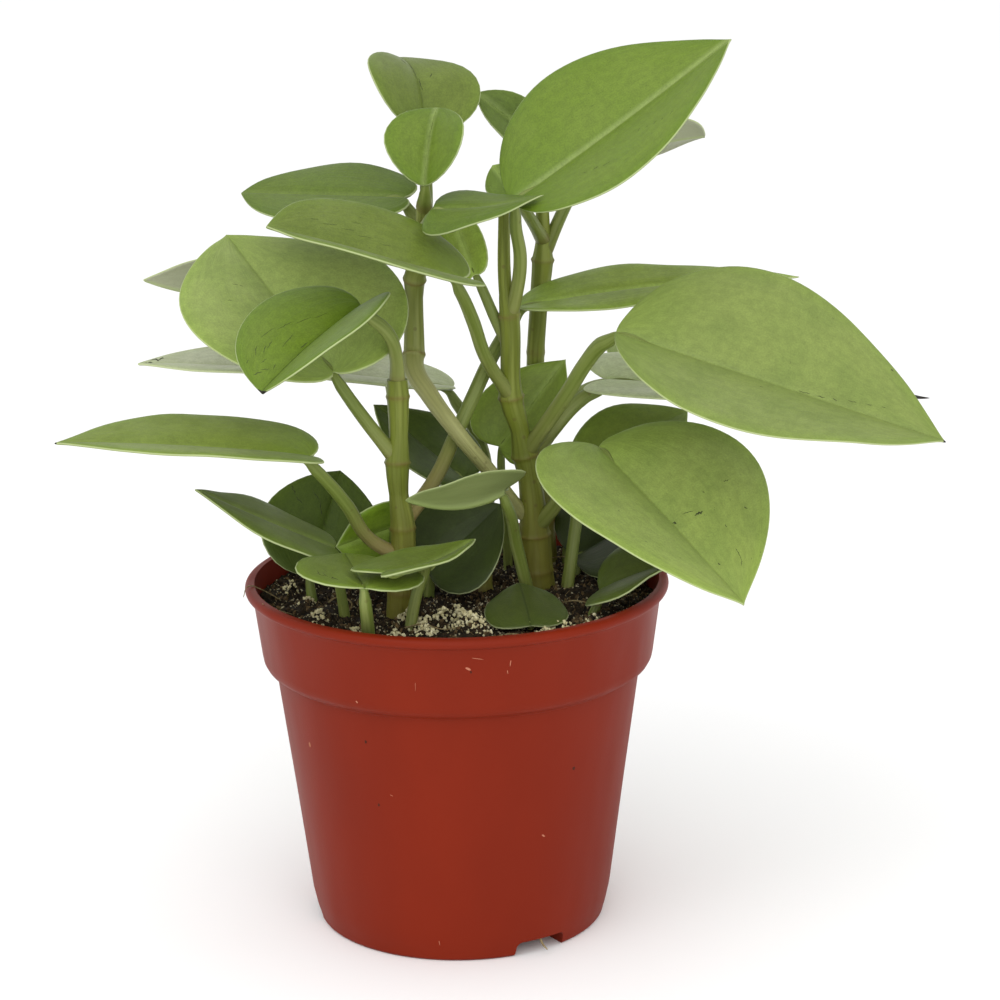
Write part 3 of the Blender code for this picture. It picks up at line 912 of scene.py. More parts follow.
@dataclass
class Blade:
    """A leaf's blade: a thin closed body with a grooved face and a keel below.

    Attributes:
        leaf: The leaf's place and shape.
        seed: What sets this blade's own small waves and marks.
        thickness: The blade's thickness, in mm.
        swell: How far each half bulges, as a share of its width.
        row_step: The length of the blade's faces, in mm.
        wave: The height of the margin's waves, in mm.
        ripple: The height of its uneven ripples, in mm.
        groove: The depth of the groove over the midrib, in mm.
        groove_reach: How far out from the midrib the groove fades, in mm.
        keel: The height of the keel under the midrib, in mm.
        keel_reach: How far out the keel fades, in mm.
        fold: The height of the small folds that follow the midrib, in mm.
        round_edge: How far in from the margin the blade thins, in mm.
        drip: How much narrower the very tip is, as a share.
        drip_reach: How far back from the tip that fades, as a share of the length.
        stations: The faces' places across a half, before the margin.
        margin_steps: The places in the thinning margin, from its inner side to its edge.
    """

    leaf: LeafShape
    seed: int
    thickness: float = 0.85
    swell: float = 0.05
    row_step: float = 1.7
    wave: float = 0.45
    ripple: float = 0.3
    groove: float = 0.32
    groove_reach: float = 0.8
    keel: float = 0.75
    keel_reach: float = 1.1
    fold: float = 0.1
    round_edge: float = 0.9
    drip: float = 0.42
    drip_reach: float = 0.035
    stations: tuple[float, ...] = (0.0, 0.018, 0.045, 0.09, 0.15, 0.22, 0.30, 0.39, 0.48, 0.57, 0.66, 0.75,
                                   0.83, 0.90, 0.96)
    margin_steps: tuple[float, ...] = (0.55, 0.22, 0.06, 0.0)

    def half_width(self, along: float) -> float:
        """Return the blade's half width at a place along it, in mm.

        Args:
            along: The share of the way from the base to the tip.

        Returns:
            The half width, measured along the half.
        """
        full, taper = self.leaf.base_power, self.leaf.tip_power
        peak = full / (full + taper)
        most = peak ** full * (1.0 - peak) ** taper
        pointed = 1.0 - self.drip * math.exp(-(1.0 - along) / self.drip_reach)
        return 0.5 * self.leaf.width * pointed * along ** full * (1.0 - along) ** taper / most

    def middle(self, along: float, across: float) -> Vector:
        """Return a point of the blade's middle surface, in its own axes, in mm.

        Args:
            along: The share of the way from the base to the tip.
            across: The share of the way from the midrib to a margin, signed.

        Returns:
            The point, with the blade's base at the origin.
        """
        leaf = self.leaf
        half = self.half_width(along)
        fold = math.radians(leaf.fold)
        side = abs(across)
        lobe = leaf.notch * across * across * 4.0 * along ** 0.4 * (1.0 - along) ** 4
        rise = leaf.arch * 4.0 * along * (1.0 - along) * leaf.length
        swell = self.swell * 4.0 * side * (1.0 - side) * half
        wave = self.wave * across * across * math.sin(2.0 * math.pi * (1.6 * along + 0.17 * self.seed)
                                                      + 1.3 * math.copysign(1.0, across))
        shape = Vector((leaf.length * (along - lobe), across * half * math.cos(fold),
                        rise + side * half * math.sin(fold) + swell))
        uneven = noise.noise(Vector((shape.x / 17.0, shape.y / 13.0, 7.3 * self.seed)))
        shape.z += (wave + self.ripple * uneven * 2.0 * side) * min(1.0, half / 8.0)
        return shape

    def normal(self, along: float, across: float) -> Vector:
        """Return the middle surface's upward normal.

        Args:
            along: The share of the way from the base to the tip.
            across: The share of the way from the midrib to a margin, signed.

        Returns:
            A unit vector, in the blade's own axes.
        """
        near = 0.004
        low, high = max(near, along - near), min(1.0 - near, along + near)
        ahead = self.middle(high, across) - self.middle(low, across)
        side = self.middle(along, min(1.0, across + near)) - self.middle(along, max(-1.0, across - near))
        found = ahead.cross(side)
        if found.length < 1e-9:
            return Vector((0.0, 0.0, 1.0))
        found.normalize()
        return found if found.z > 0.0 else -found

    def across_steps(self, half: float) -> list[float]:
        """Return the places across one half, from the midrib to the margin, from 0 to 1.

        Args:
            half: The half width there, in mm.

        Returns:
            The places, from the midrib outward.
        """
        edge = min(0.3, self.round_edge / max(half, 1e-6))
        inner = [place / self.stations[-1] * (1.0 - edge) for place in self.stations]
        outer = [1.0 - edge * step / self.margin_steps[0] for step in self.margin_steps[1:]]
        return inner + outer

    def depths(self, along: float, across: float, half: float) -> tuple[float, float]:
        """Return how far the upper and lower faces stand off the middle surface, in mm.

        Args:
            along: The share of the way from the base to the tip.
            across: The share of the way from the midrib to a margin, signed.
            half: The half width there, in mm.

        Returns:
            The upper face's distance and the lower face's.
        """
        off = (1.0 - abs(across)) * half
        share = min(1.0, off / self.round_edge)
        rounding = math.sqrt(max(0.0, 1.0 - (1.0 - share) ** 2))
        thick = 0.5 * self.thickness * rounding
        middle = abs(across) * half
        fade = (1.0 - along) ** 0.6
        groove = self.groove * math.exp(-(middle / self.groove_reach) ** 2) * fade
        keel = self.keel * math.exp(-(middle / self.keel_reach) ** 2) * (1.0 - along) ** 1.2
        folds = self.fold * math.sin(9.0 * abs(across) + 0.4) * min(1.0, middle / 4.0) * rounding * fade
        return thick - groove + folds, thick + keel - folds

    def build(self) -> bmesh.types.BMesh:
        """Build the blade in place.

        Returns:
            A closed mesh in metres with the attributes that the leaf finish reads.
        """
        grid = bmesh.new()
        marks = {name: grid.verts.layers.float.new(name)
                 for name in ("edge", "rib", "under", "along", "wear", "crease", "light", "dryness")}
        place = grid.verts.layers.float_vector.new("blade")
        rows = max(16, round(self.leaf.length / self.row_step))
        upper, lower = [], []
        for row in range(rows + 1):
            along = 0.5 - 0.5 * math.cos(math.pi * row / rows)
            half = self.half_width(along)
            if row in (0, rows):
                pole = self.point(grid, marks, place, along, 0.0, 0.0, half)
                upper.append([pole])
                lower.append([pole])
                continue
            steps = self.across_steps(half)
            upper.append([])
            lower.append([])
            for across in [-step for step in reversed(steps[1:])] + steps:
                above, below = self.depths(along, across, half)
                top = self.point(grid, marks, place, along, across, above, half)
                bottom = top
                if abs(across) < 1.0:
                    bottom = self.point(grid, marks, place, along, across, -below, half)
                    bottom[marks["under"]] = 1.0
                upper[-1].append(top)
                lower[-1].append(bottom)
        for side in (upper, lower):
            for near, far in zip(side, side[1:]):
                join(grid, near, far)
        for face in grid.faces:
            face.smooth = True
        turn = self.leaf.turn().to_4x4()
        grid.transform(Matrix.Scale(MM, 4) @ Matrix.Translation(self.leaf.base) @ turn)
        bmesh.ops.recalc_face_normals(grid, faces=grid.faces)
        return grid

    def point(self, grid: bmesh.types.BMesh, marks: dict[str, Any], place: Any, along: float, across: float,
              depth: float, half: float) -> bmesh.types.BMVert:
        """Add one point of a face, with its attributes.

        Args:
            grid: The mesh.
            marks: The number attributes, by name.
            place: The vector attribute that holds the place on the blade.
            along: The share of the way from the base to the tip.
            across: The share of the way from the midrib to a margin, signed.
            depth: How far it stands off the middle surface, in mm.
            half: The half width there, in mm.

        Returns:
            The new point.
        """
        spot = self.middle(along, across) + self.normal(along, across) * depth
        vert = grid.verts.new(spot)
        leaf = self.leaf
        vert[place] = (along * leaf.length, across * 0.5 * leaf.width, 13.7 * self.seed)
        values = {
            "edge": (1.0 - abs(across)) * half,
            "rib": abs(across) * half,
            "along": along,
            "wear": leaf.wear,
            "crease": leaf.crease,
            # The leaf's gain of painted light and shade.
            "light": leaf.light,
            "dryness": 1.0 - (1.0 - along) / leaf.dry if leaf.dry else -1.0,
        }
        for name, value in values.items():
            vert[marks[name]] = value
        return vert


FRESH, PALE, _, OLD_AND_SHADED, SILVER_GLARE = LeafTone

# Each leaf's light is painted light and shade: a gain that makes it lighter or darker for how much light
# falls on it.
LEAVES = (
    LeafShape("leaf_top_right", (15.7, 7, 173), (16.8, -10.3, 208.6), (76.7, -0.9, 251.1), 57, 26, fold=13,
        arch=-0.01, notch=0, base_power=0.57, tip_power=0.96, via=((17.4, 5.5, 179), (18.9, 1.5, 190)),
        tone=FRESH, wear=0.7, crease=0.75, light=0.9),
    LeafShape("leaf_right_large", (20, 11, 133), (44.5, -19.3, 174.2), (132.7, -35.3, 146.5), 71.4, 25,
        fold=16, notch=0, base_power=0.61, tip_power=1.03, via=((31.6, 0, 153), (36.6, -7, 163),
        (40.5, -13, 169.4)), stalk=2.3, tone=PALE, wear=0.5, crease=0.1, light=1.05, dry=0.01),
    LeafShape("leaf_lower_right", (22, 11.5, 111), (40.4, 3.7, 136.4), (77.4, -52.7, 106.6), 67.4, 4,
        fold=14, arch=0.01, notch=0.06, base_power=0.57, tip_power=1, via=((25.6, 9, 115), (31, 6, 123)),
        stalk=2.3, tone=PALE, wear=0.9, crease=0, light=1.35),
    LeafShape("leaf_left_broad", (-15.6, -17, 138.5), (-32.4, -20.1, 164.4), (-64.9, 32.8, 192.9), 64.9, 8,
        fold=12, notch=0.1, base_power=0.67, tip_power=1.01, via=((-24.5, -18, 150.8),), tone=PALE, crease=0,
        light=1.35),
    LeafShape("leaf_left_round", (-15.2, -15, 159), (-24, -27, 184), (-49, -60, 168), 41, -1, fold=22,
        arch=0.03, notch=0.09, base_power=0.49, tip_power=0.57, via=((-15.4, -17, 168),
        (-17.2, -20.5, 174.8)), tone=FRESH, wear=1, crease=-0.8, light=0.9, dry=0.01),
    LeafShape("leaf_left_back", (-11, 13, 176), (-46.3, 46.2, 178.7), (-89.5, 36.6, 179.4), 33.7, -20,
        fold=32, arch=-0.11, notch=0.27, base_power=0.62, tip_power=0.85, via=((-22, 34, 174),), stalk=1.8,
        tone=PALE, wear=0.3, light=1.15),
    LeafShape("leaf_left_flat", (6, 45, 85), (-1.6, 43.3, 144.7), (-92.4, 39, 154), 46.1, -1, fold=9,
        arch=0.01, notch=0.04, base_power=0.55, tip_power=0.77, via=((8, 44, 124),), tone=SILVER_GLARE, wear=0.3,
        light=1.35),
    LeafShape("leaf_lower_left", (-14.8, -18, 111), (-39.1, -32.1, 143.6), (-105.9, -43.9, 151.3), 45.5, 2,
        fold=10, arch=0.01, notch=0.09, base_power=0.59, tip_power=1.01, via=((-23.9, -20.5, 117.5),
        (-29.6, -24, 128)), wear=0.6, crease=0.1, light=1.4, dry=0.01),
    LeafShape("leaf_low_left_small", (-30, -18, 85), (-33.5, -19.5, 114.3), (-70.1, -32.9, 135.2), 25.9, 14,
        fold=0, arch=-0.01, notch=0.06, base_power=0.51, tip_power=0.93, stalk=1.6, light=0.95),
    LeafShape("leaf_low_left_dark", (-39, -6, 85), (-41.7, -5, 102.3), (-33.2, 18, 126.8), 37, 24, fold=20,
        arch=0.05, stalk=1.7, tone=OLD_AND_SHADED, wear=0.3, crease=0),
    LeafShape("leaf_low_left_hidden", (-15.3, -18, 102), (-17.4, -5, 116.2), (-33.3, -16.2, 113.8), 19, 92,
        fold=11, arch=-0.01, notch=0.2, base_power=0.49, tip_power=0.88, stalk=1.5, tone=FRESH, wear=0.3,
        light=1.35),
    LeafShape("leaf_front_low", (-23.5, -33, 85), (-24, -49, 111.5), (-30.5, -26, 114.7), 36, -9, fold=5,
        notch=0.16, base_power=0.55, tip_power=1.06, wear=0.8, crease=-0.5, light=1.25),
    LeafShape("leaf_front_upper", (-14, -31, 85), (-18.6, -50.4, 116), (5.8, -32.5, 120.2), 24.7, -6,
        fold=15, arch=-0.07, notch=0.23, base_power=0.38, tip_power=0.86, via=((-11, -27, 102),
        (-8.3, -28.5, 111), (-9.6, -36.5, 115.2)), stalk=1.7, wear=0.6, light=1.1),
    LeafShape("leaf_centre_small", (22.5, -2, 85), (13.4, -20.5, 130.3), (-13.1, -33.2, 131.6), 23.7, -36,
        fold=25, arch=-0.12, notch=0.22, base_power=0.42, tip_power=0.77, via=((17.1, -8.5, 111),),
        stalk=1.9, wear=0.6),
    LeafShape("leaf_low_centre_dark", (-8, 2, 85), (-8, -3, 102), (13, 6, 119.5), 32, 35, fold=8, stalk=1.8,
        tone=OLD_AND_SHADED, wear=0.3, crease=0, light=0.45),
    LeafShape("leaf_centre_dark", (6, 9, 107), (2, 22, 123), (-24, 35, 142), 32, 10, fold=8,
        via=((5, 16, 114),), stalk=1.8, tone=OLD_AND_SHADED, wear=0.3, crease=0.1, light=0.95),
    LeafShape("leaf_centre_back", (15, 28, 85), (12.4, 26.1, 131.2), (32, 32.4, 155.4), 27.4, 48, fold=13,
        arch=-0.02, notch=0.1, base_power=0.47, tip_power=0.98, via=((14, 28, 110),), stalk=1.4, wear=0.3,
        light=1.6),
    LeafShape("leaf_right_hidden", (20.6, 11.2, 130), (44, 24, 151), (135.5, 18, 146), 42, 7, fold=6,
        notch=0.12, tip_power=1.25, via=((26.6, 15, 137.2), (36.2, 19, 146.8)), stalk=2.2, tone=SILVER_GLARE,
        light=1.6, dry=0.12),
    LeafShape("leaf_right_dark", (30, 4, 85), (34.3, 12, 127), (67.7, 38, 138.2), 25, 30, fold=10, arch=0.02,
        notch=0.05, base_power=0.8, via=((33, 7, 106), (34.5, 9.5, 118)), stalk=1.9, wear=0.5, crease=0.1,
        light=1.25),
    LeafShape("leaf_right_long", (-14.8, -18, 120.5), (18.5, 19.5, 173.5), (98.5, 25.1, 180.2), 31.5, 9,
        fold=6, arch=0.02, notch=0, tip_power=1.05, via=((-5.8, -6.5, 130), (0.6, 5, 141), (5.5, 10, 150.5),
        (10.2, 13.5, 159.7)), stalk=2.2, wear=0.3, light=1.75),
    LeafShape("leaf_top_left", (-10.6, 11.5, 184), (-7.2, 15.3, 223.8), (-15.7, 46.3, 241), 34.7, -13,
        fold=13, arch=0.16, notch=0.03, base_power=0.55, tip_power=0.93, via=((-8.7, 13.8, 192.5),
        (-7.2, 16.5, 203)), wear=0.9, crease=-0.3, light=1.05),
    LeafShape("leaf_top_small", (-7.4, 1, 206), (-7, -7.5, 213.1), (-3.5, 12.3, 231.5), 25.7, -2, fold=30,
        arch=0.09, notch=0.04, base_power=0.63, tip_power=0.91, tone=FRESH, wear=0.3, crease=0.9,
        light=0.85),
    LeafShape("leaf_upper_left", (-8, 5.6, 198), (-13.2, 8.8, 207.2), (-59.2, 20.1, 206.9), 34.7, 20, fold=1,
        notch=0.1, base_power=0.63, tip_power=0.77, tone=FRESH, wear=0.3, light=0.7),
    LeafShape("leaf_left_folded", (16.2, 9, 149.5), (1.7, -18.9, 189.6), (-48.1, -39.8, 208.2), 44.5, 15,
        fold=18, arch=-0.01, notch=0.14, base_power=0.66, tip_power=0.8, via=((9, 0, 163.5),
        (5.6, -8, 175.7)), wear=1, crease=0.15, light=1.15),
    LeafShape("leaf_top_back", (25.5, 35, 204), (27.1, 37.2, 215), (6.9, 36.2, 232.1), 18.2, 50, fold=15,
        arch=0.02, notch=0.01, base_power=0.39, tip_power=0.72, stalk=1.5, tone=OLD_AND_SHADED, wear=0.3, light=1.4),
    LeafShape("leaf_top_right_behind", (25.6, 36, 185), (36.4, 37.7, 209.1), (73.1, 50.8, 216.8), 36.5, -28,
        fold=5, arch=0.05, notch=0.07, base_power=0.6, tip_power=0.61, tone=PALE, wear=0.3, light=1.15),
    LeafShape("leaf_top_inner", (25.7, 35.4, 190), (18.1, 13.4, 206.6), (11.5, 22, 213.8), 13, 38, fold=14,
        notch=0.02, base_power=0.65, tip_power=0.99, stalk=1.9, tone=OLD_AND_SHADED, wear=0.3, light=2.2),
    LeafShape("leaf_top_centre", (-7.9, 5.3, 198.5), (-5, -9, 207), (25.3, -21.5, 212.6), 25, 17, fold=-5,
        arch=-0.04, notch=0.04, base_power=0.3, tip_power=1.35, stalk=1.7, tone=FRESH, wear=0.3, light=0.7),
    LeafShape("leaf_centre_behind", (16, 8, 164), (6.2, 9.5, 185), (-1.2, 26, 203), 14, 45, fold=12,
        via=((12, 9, 172),), stalk=1.7, wear=0.3, light=2.05),
    LeafShape("leaf_low_right", (34.3, -19, 85), (40, -13, 99.1), (61.5, -24, 110.5), 31, 22, fold=12,
        arch=0.03, stalk=1.6, wear=0.5, crease=0, light=0.7),
    LeafShape("leaf_front_young", (20.3, -20, 85), (20.5, -37.5, 96.8), (17.5, -14.5, 102), 23.5, 0, fold=-8,
        arch=0.03, notch=0.05, base_power=0.49, tip_power=0.8, via=((20.3, -25, 95.6),), stalk=1.4, wear=0.5,
        crease=-0.5, light=0.5),
    LeafShape("leaf_low_right_dark", (33, 20, 85), (34, 22, 99), (58, 28, 111), 42, 18, fold=8, stalk=1.8,
        tone=OLD_AND_SHADED, crease=0, light=0.4),
    LeafShape("leaf_back_left", (-17, 47, 85), (-24, 71, 158), (-66, 99, 155), 47, -2, fold=12, arch=0.03,
        via=((-18, 58, 118), (-20, 66, 142)), stalk=1.9, light=1.1),
    LeafShape("leaf_back_right", (24, 38, 128), (53, 63, 144), (100, 92, 136), 50, 3, fold=12, arch=0.02,
        via=((36, 49, 141),), tone=PALE, wear=0.5, light=1.1),
    LeafShape("leaf_back_low_right", (32, 33, 85), (48, 54, 111), (84, 82, 106), 37, 6, fold=10, arch=0.03,
        via=((34, 37, 103),), stalk=1.7, wear=0.5, light=1.1),
)


@dataclass
class Foliage:
    """All the leaves, each a blade with its stalk.

    Attributes:
        sweep: The tree that makes the stalks.
        sides: The number of sides round a stalk.
        stalk_finish: The finish of most stalks.
        ruddy_finish: The finish of the stalks with a pinkish-brown foot.
        ruddy: The leaves that have such a stalk.
        keel: The stalk's end under the blade: shares of the length, depths in mm and
            shares of the stalk's radius.
    """

    sweep: Sweep
    sides: int = 14
    stalk_finish: StalkFinish = field(default_factory=StalkFinish)
    ruddy_finish: StalkFinish = field(default_factory=lambda: StalkFinish(
        "stalk_ruddy", foot=display(132, 112, 70), foot_share=0.7, collar=display(116, 86, 56)))
    ruddy: tuple[str, ...] = ("leaf_lower_left", "leaf_right_long")
    keel: tuple[Point, ...] = ((0.12, 0.55, 0.32), (0.3, 0.45, 0.14))

    def stalk_knots(self, leaf: LeafShape, blade: Blade) -> list[Knot]:
        """Return the stalk's points and radii, ending as a keel under the blade.

        Args:
            leaf: The leaf.
            blade: Its blade, whose midrib the keel follows.

        Returns:
            The knots, from the stalk's foot on.
        """
        along, _, face = leaf.axes()
        base = Vector(leaf.base)
        knots = [(*leaf.start, leaf.stalk)]
        knots += [(*spot, leaf.stalk * 0.95) for spot in leaf.via]
        last = Vector(leaf.via[-1] if leaf.via else leaf.start)
        knots += [(*(base + (last - base).normalized() * 4.0 - face * 0.9), leaf.stalk * 0.85),
                  (*(base + along * 1.5 - face * 0.5), leaf.stalk * 0.5)]
        for share, depth, size in self.keel:
            under = base + leaf.turn() @ blade.middle(share, 0.0) - face * depth
            knots.append((*under, leaf.stalk * size))
        return knots

    def leaf(self, leaf: LeafShape, seed: int, blade_finish: bpy.types.Material,
             stalk_finish: bpy.types.Material) -> bpy.types.Object:
        """Build one leaf.

        Args:
            leaf: The leaf's place and shape.
            seed: What sets its own small waves and marks.
            blade_finish: The blade's material.
            stalk_finish: The stalk's material.

        Returns:
            The leaf, in place of its frame node.
        """
        blade = Blade(leaf, seed)
        path = SmoothPath(self.stalk_knots(leaf, blade), swelling=0.16, step=8)
        tube = self.sweep.mesh(leaf.name + "_stalk", path, self.sides, 0.0, stalk_finish)
        grid = blade.build()
        blade_faces = len(grid.faces)
        grid.from_mesh(tube)
        grid.faces.ensure_lookup_table()
        for face in grid.faces[blade_faces:]:
            face.material_index = 1
        mesh = finished(grid, leaf.name + "_fine", blade_finish, stalk_finish)
        bpy.data.meshes.remove(tube)
        return settle(show(leaf.name + "_fine", mesh), "leaf_green", leaf.name)

    def build(self) -> list[bpy.types.Object]:
        """Build every leaf.

        Returns:
            The leaves.
        """
        finishes = {finish.tone: finish.material() for finish in LEAF_FINISHES}
        green, ruddy = self.stalk_finish.material(), self.ruddy_finish.material()
        return [self.leaf(leaf, seed, finishes[leaf.tone], ruddy if leaf.name in self.ruddy else green)
                for seed, leaf in enumerate(LEAVES, start=1)]


@dataclass(frozen=True)
class Scar:
    """One dark scar on a blade's face.

    Attributes:
        leaf: The leaf that it marks.
        along: The share of the way from the base to the tip.
        across: The share of the way from the midrib to a margin, signed.
        length: Its length, in mm.
        width: Its width, in mm.
        turn: How far it turns from the midrib's direction, in degrees.
    """

    leaf: str
    along: float
    across: float
    length: float = 1.6
    width: float = 0.3
    turn: float = 0.0


SCARS = {
    "leaf_left_flat": (
        (0.94, -0.5, 4.0, 2.6), (0.965, -0.1, 2.4, 1.2, 8.0)),
    "leaf_right_large": (
        (0.57, 0.02, 3.4, 0.3, 4.0), (0.62, 0.03, 2.4, 0.28, 5.0), (0.66, 0.05, 1.4, 0.34),
        (0.71, 0.1, 2.8, 0.26, 8.0), (0.76, 0.15, 1.6, 0.3, 6.0), (0.8, 0.21, 1.1, 0.3),
        (0.79, 0.9, 0.9, 0.7), (0.45, -0.2, 1.2, 0.24)),
    "leaf_lower_right": (
        (0.54, 0.24, 2.6, 1.3, 80.0), (0.51, 0.17, 3.4, 0.4, 76.0), (0.52, 0.02, 1.2, 0.9, 40.0),
        (0.46, 0.62, 2.0, 0.45, 80.0), (0.61, 0.7, 1.4, 0.5, 30.0), (0.65, 0.42, 1.2, 0.4),
        (0.79, 0.47, 4.2, 0.4, 12.0), (0.83, 0.5, 2.4, 0.34, -8.0), (0.79, 0.12, 1.2, 0.5)),
    "leaf_left_broad": (
        (0.61, 0.37, 2.0, 0.34, 70.0), (0.6, 0.31, 1.4, 0.3, 60.0), (0.5, 0.5, 1.8, 0.36, 75.0)),
    "leaf_left_round": (
        (0.76, -0.57, 3.2, 0.34, 12.0), (0.67, -0.42, 4.2, 0.3, 6.0), (0.8, -0.37, 2.6, 0.3, -20.0),
        (0.8, -0.15, 2.2, 0.3, 10.0), (0.9, -0.42, 3.4, 0.36, -48.0), (0.85, -0.27, 3.0, 0.32, -50.0),
        (0.6, -0.56, 5.6, 0.3, -17.0), (0.49, -0.44, 5.8, 0.3, -16.0), (0.38, -0.32, 5.2, 0.28, -14.0),
        (0.27, -0.23, 4.6, 0.24, -10.0), (0.72, -0.45, 2.8, 0.34, 14.0), (0.54, -0.05, 3.2, 0.3),
        (0.86, -0.7, 1.6, 0.3, -30.0), (0.58, -0.25, 6.0, 0.26, 3.0)),
    "leaf_front_low": (
        (0.25, 0.7, 2.6, 0.4, -20.0), (0.2, 0.72, 2.2, 0.36, 30.0), (0.17, 0.65, 3.4, 0.34, -10.0),
        (0.13, 0.6, 1.6, 1.2), (0.3, 0.55, 2.0, 0.3, 15.0)),
    "leaf_left_folded": (
        (0.66, -0.38, 5.0, 0.26, 3.0), (0.57, -0.34, 4.4, 0.24, 3.0), (0.48, -0.28, 5.2, 0.26, 2.0),
        (0.38, -0.23, 3.6, 0.24, 4.0), (0.52, -0.5, 3.2, 0.22, 2.0), (0.74, -0.45, 2.8, 0.22, -4.0)),
    "leaf_top_right": (
        (0.52, -0.45, 1.2, 0.34, 8.0), (0.55, -0.51, 1.0, 0.3, 8.0), (0.58, -0.56, 1.4, 0.3, 10.0),
        (0.61, -0.61, 1.0, 0.34, 10.0), (0.65, -0.66, 1.6, 0.3, 10.0), (0.35, -0.6, 2.4, 0.26, -12.0),
        (0.31, -0.55, 1.8, 0.26, -12.0), (0.27, -0.5, 1.2, 0.26, -12.0)),
    "leaf_low_left_dark": (
        (0.62, 0.8, 4.6, 0.45, 54.0), (0.55, 0.56, 3.4, 0.45, 68.0), (0.66, 0.38, 4.6, 0.45, 60.0),
        (0.57, 0.16, 5.0, 0.45, 33.0), (0.46, 0.0, 3.4, 0.4, 35.0)),
    "leaf_top_left": (
        (0.6, 0.02, 9.0, 0.3), (0.42, -0.03, 6.0, 0.28, 2.0), (0.7, 0.22, 2.6, 0.26, 30.0),
        (0.5, -0.24, 2.2, 0.26, -35.0)),
}


@dataclass(frozen=True)
class ScarFinish:
    """The finish of the scars: dry, matte and nearly black green."""

    name: str = "scar_dark"
    core: Colour = display(36, 36, 18)
    rim: Colour = display(66, 78, 34)

    def material(self) -> bpy.types.Material:
        """Build the material.

        Returns:
            The material.
        """
        sheet = FinishSheet(self.name, 0.85)
        grain = sheet.noise(sheet.place(), 1800.0, 2.0)
        sheet.colour(sheet.blend(sheet.ramp(grain, 0.42, 0.62), self.core, self.rim))
        sheet.bump(grain, 0.00006)
        return sheet.material


@dataclass
class Scars:
    """All the scars, thin crusts that lie on the blades.

    Attributes:
        height: How far a scar stands off the blade, in mm.
        steps: The number of stretches along it.
        ends: How near the blade's base and tip it may come, as shares of the length.
        side: How near a margin it may come, as a share of the half width.
    """

    height: float = 0.05
    steps: int = 7
    ends: tuple[float, float] = (0.015, 0.985)
    side: float = 0.96
    finish: ScarFinish = field(default_factory=ScarFinish)

    def spot(self, blade: Blade, turn: Matrix, along: float, across: float, lift: float) -> Vector:
        """Return a place just off a blade's upper face, in mm.

        Args:
            blade: The blade.
            turn: What turns the blade's own axes into place.
            along: The share of the way from the base to the tip.
            across: The share of the way from the midrib to a margin, signed.
            lift: How far off the face, in mm.

        Returns:
            The place, in the plant's own axes.
        """
        half = blade.half_width(along)
        above, _ = blade.depths(along, across, half)
        place = blade.middle(along, across) + blade.normal(along, across) * (above + lift)
        return Vector(blade.leaf.base) + turn @ place

    def add(self, grid: bmesh.types.BMesh, blade: Blade, scar: Scar, seed: int) -> None:
        """Add one scar.

        Args:
            grid: The mesh that gathers them, in mm.
            blade: The blade that it lies on.
            scar: The scar.
            seed: What sets how it wanders.
        """
        turn = blade.leaf.turn()
        ahead, aside = math.cos(math.radians(scar.turn)), math.sin(math.radians(scar.turn))
        rings = []
        for step in range(self.steps + 1):
            share = step / self.steps
            run = (share - 0.5) * scar.length
            wander = scar.width * noise.noise(Vector((2.6 * share * scar.length, 5.1 * seed, 0.0)))
            uneven = 0.75 + 0.5 * noise.noise(Vector((9.0 * share, seed, 3.0)))
            swell = math.sin(math.pi * share) ** 0.5 * uneven
            ring = []
            for sideways, lift in ((-1.0, -0.5), (0.0, 1.0), (1.0, -0.5), (0.0, -2.0)):
                off = wander + 0.5 * scar.width * swell * sideways
                spot_along = scar.along + (run * ahead - off * aside) / blade.leaf.length
                half = max(1.0, blade.half_width(scar.along))
                spot_across = scar.across + (run * aside + off * ahead) / half
                spot_along = min(self.ends[1], max(self.ends[0], spot_along))
                spot_across = min(self.side, max(-self.side, spot_across))
                rise = self.height * lift * (1.0 if 0 < step < self.steps else 0.2)
                ring.append(grid.verts.new(self.spot(blade, turn, spot_along, spot_across, rise)))
                if step in (0, self.steps):
                    break
            rings.append(ring)
        for near, far in zip(rings, rings[1:]):
            join(grid, near, far, closed=True)

    def build(self) -> bpy.types.Object:
        """Build every scar.

        Returns:
            The scars, as one piece.
        """
        blades = {leaf.name: Blade(leaf, seed) for seed, leaf in enumerate(LEAVES, start=1)}
        scars = [Scar(leaf, *row) for leaf, rows in SCARS.items() for row in rows]
        grid = bmesh.new()
        for seed, scar in enumerate(scars, start=1):
            self.add(grid, blades[scar.leaf], scar, seed)
        bmesh.ops.recalc_face_normals(grid, faces=grid.faces)
        grid.transform(Matrix.Scale(MM, 4))
        mesh = finished(grid, "leaf_scars", self.finish.material())
        return settle(show("leaf_scars", mesh), "leaf_green")


@dataclass(frozen=True)
class StemShape:
    """One stem: the points and radii of its centre line and its node rings, in mm."""

    name: str
    knots: tuple[Knot, ...]
    rings: tuple[float, ...] = ()

    @property
    def side_shoot(self) -> bool:
        """Whether it is the side shoot, whose lower half is pale."""
        return self.name.startswith("branch")


